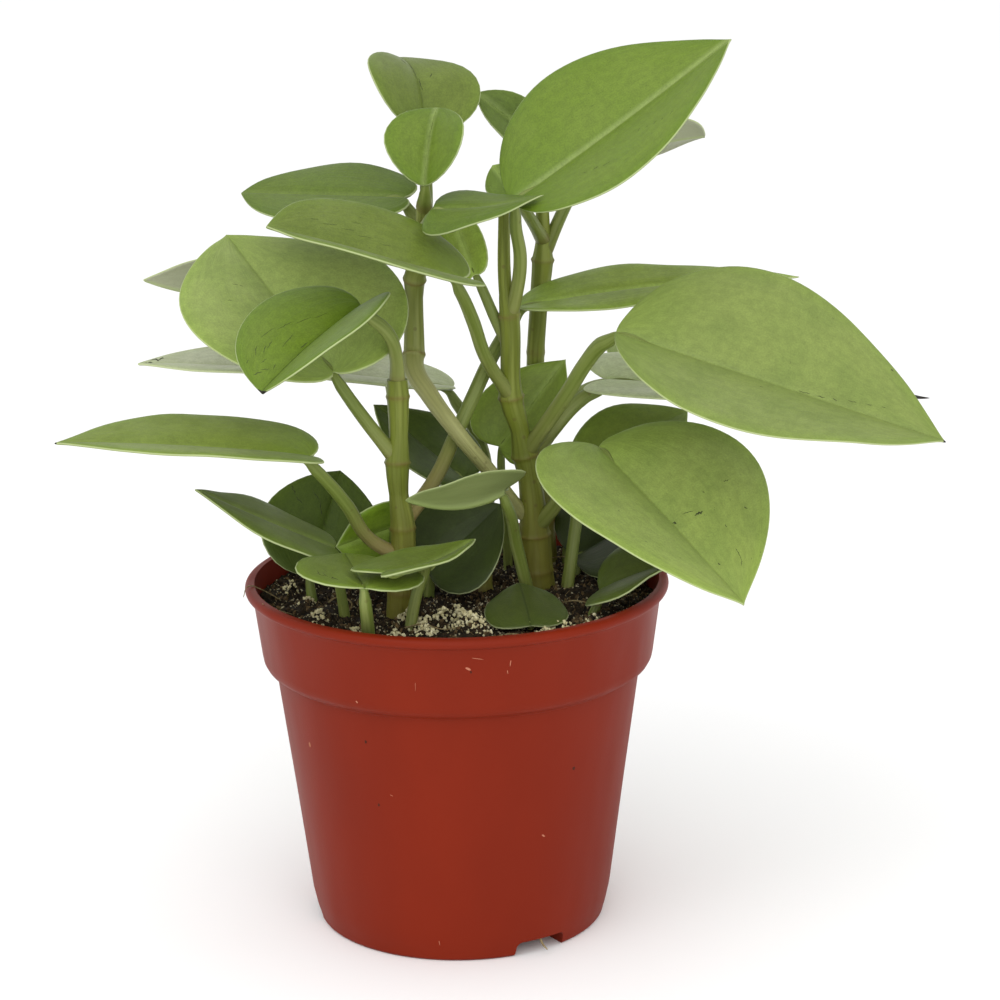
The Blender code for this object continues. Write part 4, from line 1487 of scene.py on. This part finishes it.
STEMS = (
    StemShape("stem_left", ((-16, -18, 84, 3.8), (-16, -18, 97, 3.4), (-14.6, -18, 110, 3.4),
        (-14.5, -18, 121, 3.4), (-15.4, -17.5, 129, 2.7), (-15.6, -17, 138, 3.4), (-15.2, -16, 145, 2.6),
        (-15.2, -15, 157, 3.1), (-15.3, -15, 161, 2.8)), rings=(101, 119.5, 138, 156)),
    StemShape("stem_middle", ((24, 12, 84, 6), (22.6, 12, 97, 5), (22.2, 12, 108, 4.7), (22, 11.5, 114, 3.9),
        (21, 11.2, 126, 3.3), (19.8, 11, 133, 3.9), (18.4, 10, 140, 2.7), (16, 9, 150, 3.5),
        (15.9, 8.5, 156, 2.8), (15.7, 7, 174, 2.9), (14.8, 7, 180, 1.9), (14.6, 6, 206, 1.6)),
        rings=(98, 109, 132.5, 150, 174)),
    StemShape("stem_back", ((26, 36, 84, 3.8), (24, 38, 128, 3.2), (23.2, 37.5, 150, 2.6),
        (24.3, 36.5, 170, 2.6), (25.6, 36, 184, 3.1), (25.7, 35.5, 189, 2.2), (25.5, 35, 206, 1.7)),
        rings=(106, 128, 157, 184)),
    StemShape("stem_low", ((6, 3, 84, 4.4), (6, 7, 98, 4), (6, 9, 109, 3.2)), rings=(94, 105.5)),
    StemShape("branch_left", ((19, 11, 115, 2), (14.2, 6, 122.8, 2), (9.1, 0, 131.5, 2.1),
        (4, -2.6, 138.5, 2.2), (-0.6, -2, 144.5, 2.3), (-6.8, 4, 151.9, 2.6), (-11.2, 9.5, 158.5, 2.9),
        (-11.2, 12.5, 163, 3), (-10.9, 13, 178, 2.5), (-10.6, 11.5, 184, 3.1), (-8.7, 8, 191, 2.6),
        (-7.8, 5, 200, 2.4), (-7.4, 1.5, 207, 2.1)), rings=(162, 183.5, 200)),
)


@dataclass
class Stems:
    """The upright stems and the side shoot.

    Attributes:
        sweep: The tree that makes them.
        sides: The number of sides round a stem.
        ring_height: How far a node ring stands out, in mm.
    """

    sweep: Sweep
    sides: int = 28
    ring_height: float = 0.35
    finish: StemFinish = field(default_factory=StemFinish)
    shoot_finish: StemFinish = field(default_factory=lambda: StemFinish(
        "stem_pale", display(122, 130, 62), display(106, 114, 48), display(150, 156, 88), pale_run=72.0))

    def build(self) -> list[bpy.types.Object]:
        """Build every stem.

        Returns:
            The stems, in place of their frame nodes.
        """
        olive, paler = self.finish.material(), self.shoot_finish.material()
        stems = []
        for stem in STEMS:
            bark = paler if stem.side_shoot else olive
            path = SmoothPath(stem.knots, rings=stem.rings, step=16)
            mesh = self.sweep.mesh(stem.name + "_fine", path, self.sides, self.ring_height, bark)
            stems.append(settle(show(stem.name + "_fine", mesh), "stem_olive", stem.name))
        return stems


@dataclass(frozen=True)
class Grain:
    """One kind of grain scattered on the soil.

    Attributes:
        name: The piece's name.
        finish: Its colours.
        crowd: How many lie on a square metre, where they lie at all.
        smallest: The smallest grain's radius, in mm.
        largest: The largest grain's radius, in mm.
        length: How long a grain is, as a share of its width.
        seed: What sets where they lie.
        patches: Whether they lie only in the pale patches.
    """

    name: str
    finish: EarthFinish
    crowd: float
    smallest: float
    largest: float
    length: float
    seed: int
    patches: bool = False


GRAINS = (
    Grain("soil_crumbs", EarthFinish("crumb_brown", display(22, 17, 9), display(66, 51, 32)), 200000.0,
          0.3, 1.2, 1.5, 3),
    Grain("soil_bark", EarthFinish("bark_brown", display(52, 40, 24), display(128, 106, 72)), 170000.0,
          0.25, 0.8, 1.9, 11),
    Grain("soil_fibres", EarthFinish("fibre_tan", display(92, 76, 48), display(158, 138, 100)), 30000.0,
          0.09, 0.17, 16.0, 5),
    Grain("soil_grit", EarthFinish("grit_pale", display(146, 136, 104), display(212, 204, 176)), 520000.0,
          0.14, 0.4, 1.3, 7),
    Grain("soil_sand", EarthFinish("sand_cream", display(204, 194, 146), display(244, 238, 204)), 3600000.0,
          0.28, 0.66, 1.2, 9, patches=True),
)


class Scatter(Grower):
    """Scatters grains over the soil.

    Attributes:
        pile: How high the pale grains pile up, in metres.
        any_turn: A full turn, in radians.
        flatness: A grain's height, as a share of its width.
    """

    name = "scattered_grains"
    inputs = {"Crowd": "Float", "Smallest": "Float", "Largest": "Float", "Length": "Float", "Seed": "Int",
              "Only patches": "Float", "Finish": "Material"}
    pile = 2.4 * MM
    any_turn = 6.28
    flatness = 0.8

    def shape(self, sheet: NodeSheet, given: Any) -> Any:
        """Add the nodes that lay turned, broken lumps on the soil's upper face.

        Args:
            sheet: The tree's nodes.
            given: The tree's inputs.

        Returns:
            The output with the grains.
        """
        patch, bed = self.held(sheet, "patch", "bed")
        where, only, seed = sheet.out("GeometryNodeInputPosition"), given["Only patches"], given["Seed"]
        crowded = sheet.ramp(sheet.noise(where, 170.0, 2.0), 0.36, 0.62, 0.3, 1.5)
        everywhere = sheet.times(crowded, sheet.ramp(only, 0.0, 1.0, 1.0, 0.0))
        clumps = sheet.ramp(sheet.noise(where, 620.0, 1.0), 0.44, 0.56)
        share = sheet.times(bed, sheet.sum("ADD", everywhere, sheet.times(patch, clumps, only)))
        crowd = sheet.times(given["Crowd"], share)
        spots = sheet.out("GeometryNodeDistributePointsOnFaces",
                          {"Mesh": given["Geometry"], "Density": crowd, "Seed": seed},
                          distribute_method="RANDOM")
        stack = sheet.add("FunctionNodeRandomValue", {2: 0.0, 3: self.pile}, data_type="FLOAT").outputs[1]
        rise = sheet.out("ShaderNodeCombineXYZ", {2: sheet.times(stack, sheet.times(patch, only))})
        piled = sheet.out("GeometryNodeSetPosition", {"Geometry": spots, "Offset": rise})
        turns = {0: (0.0, 0.0, 0.0), 1: (self.any_turn,) * 3, "Seed": seed}
        turn = sheet.out("FunctionNodeRandomValue", turns, data_type="FLOAT_VECTOR")
        radii = {2: given["Smallest"], 3: given["Largest"], "Seed": seed}
        radius = sheet.add("FunctionNodeRandomValue", radii, data_type="FLOAT").outputs[1]
        long, flat = sheet.times(radius, given["Length"]), sheet.times(radius, self.flatness)
        size = sheet.out("ShaderNodeCombineXYZ", {0: long, 1: radius, 2: flat})
        lump = sheet.out("GeometryNodeMeshIcoSphere", {"Radius": 1.0, "Subdivisions": 1})
        laid = sheet.out("GeometryNodeInstanceOnPoints",
                         {"Points": piled, "Instance": lump, "Rotation": turn, "Scale": size})
        whole = sheet.out("GeometryNodeRealizeInstances", {"Geometry": laid})
        push = sheet.wander(where, 1400.0, 1.0, sheet.times(given["Largest"], 1.1))
        return sheet.out("GeometryNodeSetPosition", {"Geometry": whole, "Offset": push})

    def mesh(self, ground: bpy.types.Mesh, grain: Grain) -> bpy.types.Mesh:
        """Scatter one kind of grain.

        Args:
            ground: The soil's upper face, with its patch and bed attributes.
            grain: The kind of grain.

        Returns:
            The grains, in metres.
        """
        return self.applied(grain.name, ground, {
            "Crowd": grain.crowd, "Smallest": grain.smallest * MM, "Largest": grain.largest * MM,
            "Length": grain.length, "Seed": grain.seed, "Only patches": float(grain.patches),
            "Finish": grain.finish.material()})


@dataclass
class Soil:
    """The soil: the frame's own solid under a crust of clods, with grains on top.

    Attributes:
        rings: The number of rings in the crust.
        spokes: The number of points round a ring.
        top: The height of the frame's solid, in mm.
        mound: The height of the crust's soft mounds, in mm.
        clod: The height of its clods, in mm.
        lift: How far the crust lies over the frame's solid, in mm.
        depth: How far down the crust reaches into it, in mm.
        margin: The gap between the crust and the solid's side, in mm.
        heap: The height of a heap of fine grains, in mm.
        heap_radius: The radius of the patch whose heap is that high, in mm.
        patches: The pale patches of fine grains: centre x and y, and radius, in mm.
    """

    rings: int = 60
    spokes: int = 180
    top: float = 92.5
    mound: float = 1.1
    clod: float = 1.5
    lift: float = 0.9
    depth: float = 4.0
    margin: float = 0.4
    heap: float = 2.2
    heap_radius: float = 3.4
    patches: tuple[Point, ...] = (
        (-13, -24, 2.8), (-9, -29, 3.4), (-4, -26, 3.6), (0, -24, 3.4), (2, -30, 3.6), (6, -34, 3.0),
        (-8, -36, 2.6), (-16, -38, 2.0), (27, -33, 3.0), (24, -37, 2.2), (-28, -36, 1.8), (-47, 4, 2.2),
        (-42, -8, 1.8), (-38, -22, 1.8), (38, -30, 1.6))
    earth: EarthFinish = field(default_factory=lambda: EarthFinish(
        "potting_soil", display(19, 14, 8), display(56, 43, 26), 1.6))

    def nearness(self, x: float, y: float) -> list[tuple[float, float]]:
        """Return how near a place is to each pale patch, 0 to 1, and the patch's radius."""
        return [(math.exp(-((x - px) ** 2 + (y - py) ** 2) / (r * r)), r) for px, py, r in self.patches]

    def height(self, x: float, y: float) -> float:
        """Return the crust's height at a place, in mm.

        Args:
            x: The place's x, in mm.
            y: Its y, in mm.

        Returns:
            The height.
        """
        waves = math.sin(0.21 * x + 0.4) * math.cos(0.17 * y - 0.9)
        ripples = 0.5 * math.sin(0.47 * x - 0.31 * y + 1.3)
        spot = Vector((x / 3.2, y / 3.2, 4.1))
        clods = 0.5 + 0.5 * noise.fractal(spot, 0.9, 2.1, 4)
        heap = max(near * radius / self.heap_radius for near, radius in self.nearness(x, y))
        return self.top + self.mound * (waves + ripples) + self.lift + self.clod * clods + self.heap * heap

    def crust(self) -> bpy.types.Mesh:
        """Build the crust as a closed body with patch and bed attributes.

        Returns:
            The crust, in metres.
        """
        low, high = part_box("soil")
        rim = 0.5 * (high.x - low.x) / MM - self.margin
        grid = bmesh.new()
        patch = grid.verts.layers.float.new("patch")
        bed = grid.verts.layers.float.new("bed")
        rows = [[grid.verts.new((0.0, 0.0, self.height(0.0, 0.0)))]]
        for ring in range(1, self.rings + 1):
            radius = rim * ring / self.rings
            rows.append([])
            for spoke in range(self.spokes):
                angle = 2.0 * math.pi * spoke / self.spokes
                x, y = radius * math.cos(angle), radius * math.sin(angle)
                rows[-1].append(grid.verts.new((x, y, self.height(x, y))))
        for vert in grid.verts:
            vert[patch] = max(near for near, _ in self.nearness(vert.co.x, vert.co.y))
            vert[bed] = 1.0
        rows.append([grid.verts.new((vert.co.x, vert.co.y, self.top - self.depth)) for vert in rows[-1]])
        rows.append([grid.verts.new((0.0, 0.0, self.top - self.depth))])
        for near, far in zip(rows, rows[1:]):
            join(grid, near, far, closed=True)
        bmesh.ops.recalc_face_normals(grid, faces=grid.faces)
        for face in grid.faces:
            face.smooth = True
        grid.transform(Matrix.Scale(MM, 4))
        return finished(grid, "soil_crust")

    def build(self, frame_soil: bpy.types.Object) -> list[bpy.types.Object]:
        """Build the crust and its grains, and dress the frame's soil.

        Args:
            frame_soil: The frame's own soil.

        Returns:
            The new pieces.
        """
        earth = self.earth.material()
        frame_soil.data.materials.clear()
        frame_soil.data.materials.append(earth)
        ground = self.crust()
        ground.materials.append(earth)
        pieces = [settle(show("soil_crust", ground), "potting_soil")]
        scatter = Scatter()
        pieces += [settle(show(grain.name, scatter.mesh(ground, grain)), "potting_soil") for grain in GRAINS]
        return pieces


ROOTS = (
    ((21.0, -31.0, 4.4, 0.5), (22.2, -34.0, 4.0, 0.42), (23.0, -36.5, 3.0, 0.32), (24.2, -38.4, 2.2, 0.2)),
    ((-37.0, -6.0, 93.8, 0.3), (-34.0, -8.0, 96.6, 0.26), (-31.0, -9.6, 96.8, 0.24),
     (-29.4, -11.6, 95.2, 0.2), (-31.0, -13.0, 94.4, 0.16)),
    ((-50.0, -3.0, 94.6, 0.2), (-55.0, -6.0, 98.6, 0.17), (-58.6, -9.4, 100.6, 0.15),
     (-59.6, -13.0, 98.6, 0.12)),
    ((-46.0, -18.0, 95.0, 0.18), (-50.0, -22.0, 97.6, 0.16), (-53.4, -25.0, 100.2, 0.12)),
    ((-14.0, -30.0, 94.4, 0.22), (-9.0, -33.0, 96.2, 0.2), (-3.0, -34.6, 95.2, 0.16),
     (2.0, -34.0, 96.0, 0.12)),
    ((12.0, -38.0, 94.4, 0.2), (16.0, -42.0, 96.0, 0.18), (23.0, -43.4, 95.4, 0.14),
     (28.0, -41.0, 96.4, 0.1)),
    ((30.0, -8.0, 94.4, 0.24), (34.0, -14.0, 96.6, 0.2), (40.0, -16.0, 95.6, 0.14)),
    ((-28.0, 10.0, 94.4, 0.24), (-34.0, 16.0, 96.4, 0.2), (-40.0, 15.0, 95.2, 0.14)),
    ((38.0, 22.0, 94.4, 0.24), (32.0, 30.0, 96.6, 0.2), (24.0, 31.0, 95.4, 0.14)),
)


@dataclass
class Roots:
    """The curled fibres on the soil, and the root stub in one drain channel.

    Attributes:
        sweep: The tree that makes them.
        sides: The number of sides round a fibre.
    """

    sweep: Sweep
    sides: int = 6
    finish: EarthFinish = field(default_factory=lambda: EarthFinish(
        "fibre_pale", display(120, 104, 70), display(176, 160, 120)))

    def build(self) -> list[bpy.types.Object]:
        """Build every fibre.

        Returns:
            The fibres.
        """
        tan = self.finish.material()
        fibres = []
        for number, knots in enumerate(ROOTS, start=1):
            name = f"root_{number}"
            mesh = self.sweep.mesh(name, SmoothPath(knots, step=6), self.sides, 0.0, tan)
            fibres.append(settle(show(name, mesh), "potting_soil"))
        return fibres


def arc(x: float, z: float, wide: float, high: float, first: float, step: float,
        count: int) -> list[tuple[float, float]]:
    """Return points on an upright ellipse's arc: angles in degrees, places across and heights."""
    angles = [math.radians(first + step * number) for number in range(count)]
    return [(x + wide * math.cos(angle), z + high * math.sin(angle)) for angle in angles]


@dataclass(frozen=True)
class Scuff:
    """One small mark on the pot.

    Attributes:
        angle: Where it is round the pot, in degrees from +X.
        height: How high it is, in mm.
        length: Its length, in mm.
        width: Its width, in mm.
        turn: How far it turns from upright, in degrees.
        dark: Whether it is grime and not a pale scratch.
    """

    angle: float
    height: float
    length: float
    width: float
    turn: float = 0.0
    dark: bool = False


@dataclass
class Pot:
    """The pot: a thin turned shell with a collar, a rolled lip and drain channels.

    Attributes:
        sides: The number of sides round the pot.
        wall: The wall's thickness, in mm.
        rim: The lip's radius, in mm.
        height: The pot's height, in mm.
        collar: The collar's height, in mm.
        body_top: The body's radius under the collar, in mm.
        foot: The foot's radius, in mm.
        channel_start: How far from the pot's axis a drain channel starts, in mm.
        channel_angles: Where the drain channels leave the pot, in degrees from +X.
        channel_corner: The radius of a channel's upper corners, in mm.
        drain_radius: A drain hole's radius, in mm.
        drain_places: How far from the pot's axis the drain holes are, in mm.
        sharp: The angle over which an edge stays sharp, in degrees.
        scuffs: The marks on the outer side.
        scratches: The finish of the pale scratches.
        grime: The finish of the dark marks.
    """

    sides: int = 160
    wall: float = 1.2
    floor: float = 1.2
    rim: float = 60.0
    height: float = 100.0
    collar: float = 24.0
    body_top: float = 51.8
    foot: float = 41.2
    channel_height: float = 4.3
    channel_width: float = 17.0
    channel_start: float = 14.0
    channel_angles: tuple[float, ...] = (-57.0, 63.0, 183.0)
    channel_corner: float = 1.6
    drain_radius: float = 4.0
    drain_depth: float = 8.0
    drain_places: tuple[float, ...] = (20.0, 32.0)
    sharp: float = 32.0
    scuffs: tuple[Scuff, ...] = (
        Scuff(-75.0, 92.4, 2.6, 0.3, -8.0), Scuff(-75.8, 89.6, 1.2, 0.24, 10.0),
        Scuff(-86.6, 91.2, 1.8, 0.7, 60.0), Scuff(-85.8, 90.2, 0.9, 0.5, dark=True),
        Scuff(-84.0, 94.0, 3.4, 0.18, 80.0), Scuff(-101.0, 86.4, 3.8, 0.14),
        Scuff(-119.0, 79.4, 1.0, 0.4, 40.0), Scuff(-49.5, 55.6, 1.3, 1.0, dark=True),
        Scuff(-60.0, 37.0, 1.4, 0.5, 50.0), Scuff(-119.5, 66.4, 1.2, 0.7, dark=True),
        Scuff(-117.0, 47.6, 1.1, 0.6, dark=True), Scuff(-112.0, 51.0, 1.0, 0.2, 70.0),
        Scuff(-98.0, 6.4, 2.2, 0.2, 10.0), Scuff(40.0, 60.0, 1.6, 0.4, 30.0),
        Scuff(95.0, 84.0, 2.0, 0.3, 60.0), Scuff(150.0, 34.0, 1.8, 0.3, 75.0))
    finish: PotFinish = field(default_factory=PotFinish)
    scratches: EarthFinish = field(default_factory=lambda: EarthFinish(
        "pot_scratches", display(168, 96, 72), display(196, 140, 112)))
    grime: EarthFinish = field(default_factory=lambda: EarthFinish(
        "pot_grime", display(58, 26, 16), display(84, 40, 26)))

    def body_radius(self, height: float) -> float:
        """Return the body's outer radius at a height, in mm."""
        slope = (self.body_top - self.foot) / (self.height - self.collar)
        return self.foot + slope * height

    def outer_profile(self) -> list[tuple[float, float]]:
        """Return the outer profile from the top's centre to the floor's, as radii and heights.

        Returns:
            The profile's points, in mm.
        """
        step = self.height - self.collar
        lip = arc(self.rim - 1.6, self.height - 1.5, 1.6, 1.5, 90.0, -15.0, 11)
        shoulder = [(self.rim - 6.4 - 1.3 * share, step + 0.1 - 0.7 * share * share)
                    for share in (0.0, 0.5, 1.0)]
        toe = arc(self.foot - 1.3, 1.4, 1.3, 1.4, 0.0, -15.0, 7)
        return [
            (0.0, self.height),
            *lip,
            (self.rim - 1.6, self.height - 3.2),
            (self.rim - 2.3, self.height - 4.6),
            (self.rim - 4.4, step + 3.6),
            (self.rim - 4.7, step + 2.0),
            (self.rim - 5.4, step + 0.7),
            *shoulder,
            (self.body_top, step - 1.2),
            (self.body_radius(40.0) + 0.3, 40.0),
            (self.body_radius(9.0) + 0.6, 9.0),
            (self.body_radius(4.0) + 0.2, 4.0),
            *toe,
            (0.0, 0.0),
        ]

    def inner_profile(self) -> list[tuple[float, float]]:
        """Return the profile of the space inside, from above the rim to the floor.

        Returns:
            The profile's points, in mm.
        """
        step = self.height - self.collar
        top = self.height + 2.0
        high = self.rim - 2.3 - self.wall
        low = self.rim - 5.2 - self.wall
        slope = (high - low) / (self.collar - 6.0)
        return [
            (0.0, top),
            (low + slope * (top - step - 1.0), top),
            (low, step + 1.0),
            (self.body_top - self.wall, step - 1.6),
            (self.body_radius(9.0) + 0.6 - self.wall, 9.0),
            (self.foot - 0.4 - self.wall, self.floor + 1.5),
            (self.foot - 1.6 - self.wall, self.floor),
            (0.0, self.floor),
        ]

    def turned(self, name: str, profile: list[tuple[float, float]]) -> bpy.types.Object:
        """Return a solid turned from a profile.

        Args:
            name: The object's name.
            profile: Radii and heights in mm, down its outer side.

        Returns:
            The solid, turned by a Screw modifier.
        """
        mesh = bpy.data.meshes.new(name)
        points = [(radius * MM, 0.0, height * MM) for radius, height in profile]
        numbers = range(len(points))
        mesh.from_pydata(points, list(zip(numbers, numbers[1:])), [])
        thing = show(name, mesh)
        screw = thing.modifiers.new("Screw", "SCREW")
        screw.axis = "Z"
        screw.steps = self.sides
        screw.render_steps = self.sides
        screw.use_merge_vertices = True
        screw.merge_threshold = 0.01 * MM
        return thing

    def channel(self, name: str, angle: float, grow: float) -> bpy.types.Object:
        """Return a drain channel's block with rounded upper edges.

        Args:
            name: The object's name.
            angle: Where it leaves the pot, in degrees from +X.
            grow: How much larger it is than the channel, in mm.

        Returns:
            The block.
        """
        reach = self.foot + 10.0
        width = self.channel_width + 2.0 * grow
        height = self.channel_height + grow
        corner = self.channel_corner + grow
        side, rise = 0.46 * width - corner, height - corner
        section = [(-0.5 * width, -5.0), (0.5 * width, -5.0), *arc(side, rise, corner, corner, 0.0, 22.5, 5),
                   *arc(-side, rise, corner, corner, 90.0, 22.5, 5)]
        block = bmesh.new()
        ends = [[block.verts.new((x, y, z)) for y, z in section] for x in (self.channel_start - grow, reach)]
        block.faces.new(ends[0])
        block.faces.new(list(reversed(ends[1])))
        join(block, *ends, closed=True)
        bmesh.ops.recalc_face_normals(block, faces=block.faces)
        block.transform(Matrix.Rotation(math.radians(angle), 4, "Z") @ Matrix.Scale(MM, 4))
        return show(name, finished(block, name))

    def drain(self, name: str, angle: float, distance: float) -> bpy.types.Object:
        """Return a round cutter for one drain hole in a channel's roof.

        Args:
            name: The object's name.
            angle: Where its channel leaves the pot, in degrees.
            distance: How far it is from the pot's axis, in mm.

        Returns:
            The cutter.
        """
        pin = bmesh.new()
        bmesh.ops.create_cone(pin, cap_ends=True, segments=32, radius1=self.drain_radius,
                              radius2=self.drain_radius, depth=self.drain_depth)
        place = Matrix.Rotation(math.radians(angle), 4, "Z")
        place = place @ Matrix.Translation((distance, 0.0, self.channel_height))
        pin.transform(Matrix.Scale(MM, 4) @ place)
        return show(name, finished(pin, name))

    @staticmethod
    def cut(thing: bpy.types.Object, cutter: bpy.types.Object) -> None:
        """Cut one object by another with a Boolean modifier.

        Args:
            thing: The object that is cut.
            cutter: The object that cuts it.
        """
        modifier = thing.modifiers.new("Cut", "BOOLEAN")
        modifier.operation = "DIFFERENCE"
        modifier.object = cutter

    def build(self) -> list[bpy.types.Object]:
        """Build the pot and its marks.

        Returns:
            The pot, in place of its frame node, and the marks.
        """
        shell = self.turned("pot_turned", self.outer_profile())
        cavity = self.turned("pot_cavity", self.inner_profile())
        cutters = [cavity]
        for number, angle in enumerate(self.channel_angles, start=1):
            ridge = self.channel(f"ridge_{number}", angle, self.wall)
            self.cut(cavity, ridge)
            cutters.append(ridge)
        self.cut(shell, cavity)
        for number, angle in enumerate(self.channel_angles, start=1):
            channel = self.channel(f"channel_{number}", angle, 0.0)
            self.cut(shell, channel)
            cutters.append(channel)
            for place, distance in enumerate(self.drain_places, start=1):
                hole = self.drain(f"drain_{number}_{place}", angle, distance)
                self.cut(shell, hole)
                cutters.append(hole)
        mesh = plain_mesh(shell, "pot_fine")
        for thing in [shell, *cutters]:
            bpy.data.objects.remove(thing)
        mesh.shade_smooth()
        mesh.set_sharp_from_angle(angle=math.radians(self.sharp))
        mesh.materials.clear()
        mesh.materials.append(self.finish.material())
        return [settle(show("pot_fine", mesh), "pot_plastic", "pot"), *self.marks()]

    def surface(self, height: float) -> float:
        """Return the outer radius at a height clear of the lip and the foot, in mm.

        Args:
            height: The height, in mm.

        Returns:
            The radius.
        """
        profile = self.outer_profile()[2:-2]
        for (upper, high), (lower, low) in zip(profile, profile[1:]):
            if low <= height <= high and high > low:
                return lower + (upper - lower) * (height - low) / (high - low)
        return self.foot

    def marks(self) -> list[bpy.types.Object]:
        """Build the pale scratches and the grime as thin crusts on the pot.

        Returns:
            One piece of each kind.
        """
        pieces = []
        for finish, dark in ((self.scratches, False), (self.grime, True)):
            grid = bmesh.new()
            for scuff in (scuff for scuff in self.scuffs if scuff.dark == dark):
                spot = bmesh.ops.create_icosphere(grid, subdivisions=2, radius=0.5)["verts"]
                shape = Matrix.Diagonal((0.12, scuff.width, scuff.length, 1.0))
                tilt = Matrix.Rotation(math.radians(scuff.turn), 4, "X")
                reach = Matrix.Translation((self.surface(scuff.height), 0.0, scuff.height))
                around = Matrix.Rotation(math.radians(scuff.angle), 4, "Z")
                bmesh.ops.transform(grid, matrix=around @ reach @ tilt @ shape, verts=spot)
            grid.transform(Matrix.Scale(MM, 4))
            mesh = finished(grid, finish.name, finish.material())
            pieces.append(settle(show(finish.name, mesh), "pot_plastic"))
        return pieces


@dataclass
class Studio:
    """The pale floor, the soft lights and the camera at the photo's angle.

    Attributes:
        target: What the camera looks at, in mm.
        distance: How far the camera is from it, in mm.
        pitch: How far the camera looks down, in degrees.
        tilt: How far the camera leans to one side, in degrees.
        lens: The lens's length, in mm.
        sensor: The sensor's width, in mm.
        clip: The nearest and the farthest things seen, in metres.
        floor_size: The floor's side, in metres.
        sky: The strength of the white all round.
        lit: What the lamps face, in metres.
        lamps: Each lamp's name, place and side in metres, and power in watts.
    """

    target: Point = (12.5, 0.0, 122.3)
    distance: float = 900.0
    pitch: float = 15.17
    tilt: float = -0.69
    lens: float = 115.0
    sensor: float = 36.0
    floor_size: float = 30.0
    sky: float = 1.03
    clip: tuple[float, float] = (0.01, 60.0)
    lit: Point = (0.0, 0.0, 0.14)
    lamps: tuple[tuple[str, Point, float, float], ...] = (
        ("key", (-0.5, -0.9, 1.3), 1.2, 6.0), ("front", (0.3, -1.5, 0.6), 1.4, 9.0))
    finish: FloorFinish = field(default_factory=FloorFinish)

    def camera(self) -> None:
        """Set up the camera."""
        lens = bpy.data.cameras.new("photo_camera")
        lens.lens = self.lens
        lens.sensor_width = self.sensor
        lens.clip_start, lens.clip_end = self.clip
        camera = show("photo_camera", lens)
        pitch = math.radians(self.pitch)
        back = Vector((0.0, -math.cos(pitch), math.sin(pitch))) * self.distance
        place = Matrix.Translation((Vector(self.target) + back) * MM)
        down = Matrix.Rotation(math.radians(90.0) - pitch, 4, "X")
        camera.matrix_world = place @ (down @ Matrix.Rotation(math.radians(self.tilt), 4, "Z"))
        bpy.context.scene.camera = camera

    def light(self, name: str, place: Point, size: float, power: float) -> None:
        """Hang one soft square light that faces the plant.

        Args:
            name: Its name.
            place: Where it hangs, in metres.
            size: Its side, in metres.
            power: Its power, in watts.
        """
        lamp = bpy.data.lights.new(name, "AREA")
        lamp.energy = power
        lamp.size = size
        light = show(name, lamp)
        spot = Vector(place)
        aim = Vector(self.lit) - spot
        light.matrix_world = Matrix.Translation(spot) @ aim.to_track_quat("-Z", "Y").to_matrix().to_4x4()

    def floor(self) -> None:
        """Lay the floor."""
        grid = bmesh.new()
        bmesh.ops.create_grid(grid, x_segments=1, y_segments=1, size=0.5 * self.floor_size)
        mesh = finished(grid, "studio_floor", self.finish.material())
        show("studio_floor", mesh)

    def build(self) -> None:
        """Set up the whole studio."""
        world = bpy.data.worlds.new("studio")
        world.use_nodes = True
        background = world.node_tree.nodes["Background"]
        background.inputs["Color"].default_value = (1.0, 1.0, 1.0, 1.0)
        background.inputs["Strength"].default_value = self.sky
        bpy.context.scene.world = world
        bpy.context.scene.view_settings.view_transform = "Standard"
        self.floor()
        for lamp in self.lamps:
            self.light(*lamp)
        self.camera()


def main() -> None:
    """Load the frame and build the plant's looks round it."""
    logging.basicConfig(level=logging.INFO, format="%(message)s")
    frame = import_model()
    Studio().build()
    Pot().build()
    Soil().build(frame["nodes"]["soil"])
    sweep = Sweep()
    Roots(sweep).build()
    Stems(sweep).build()
    Foliage(sweep).build()
    Scars().build()


if __name__ == "__main__":
    main()
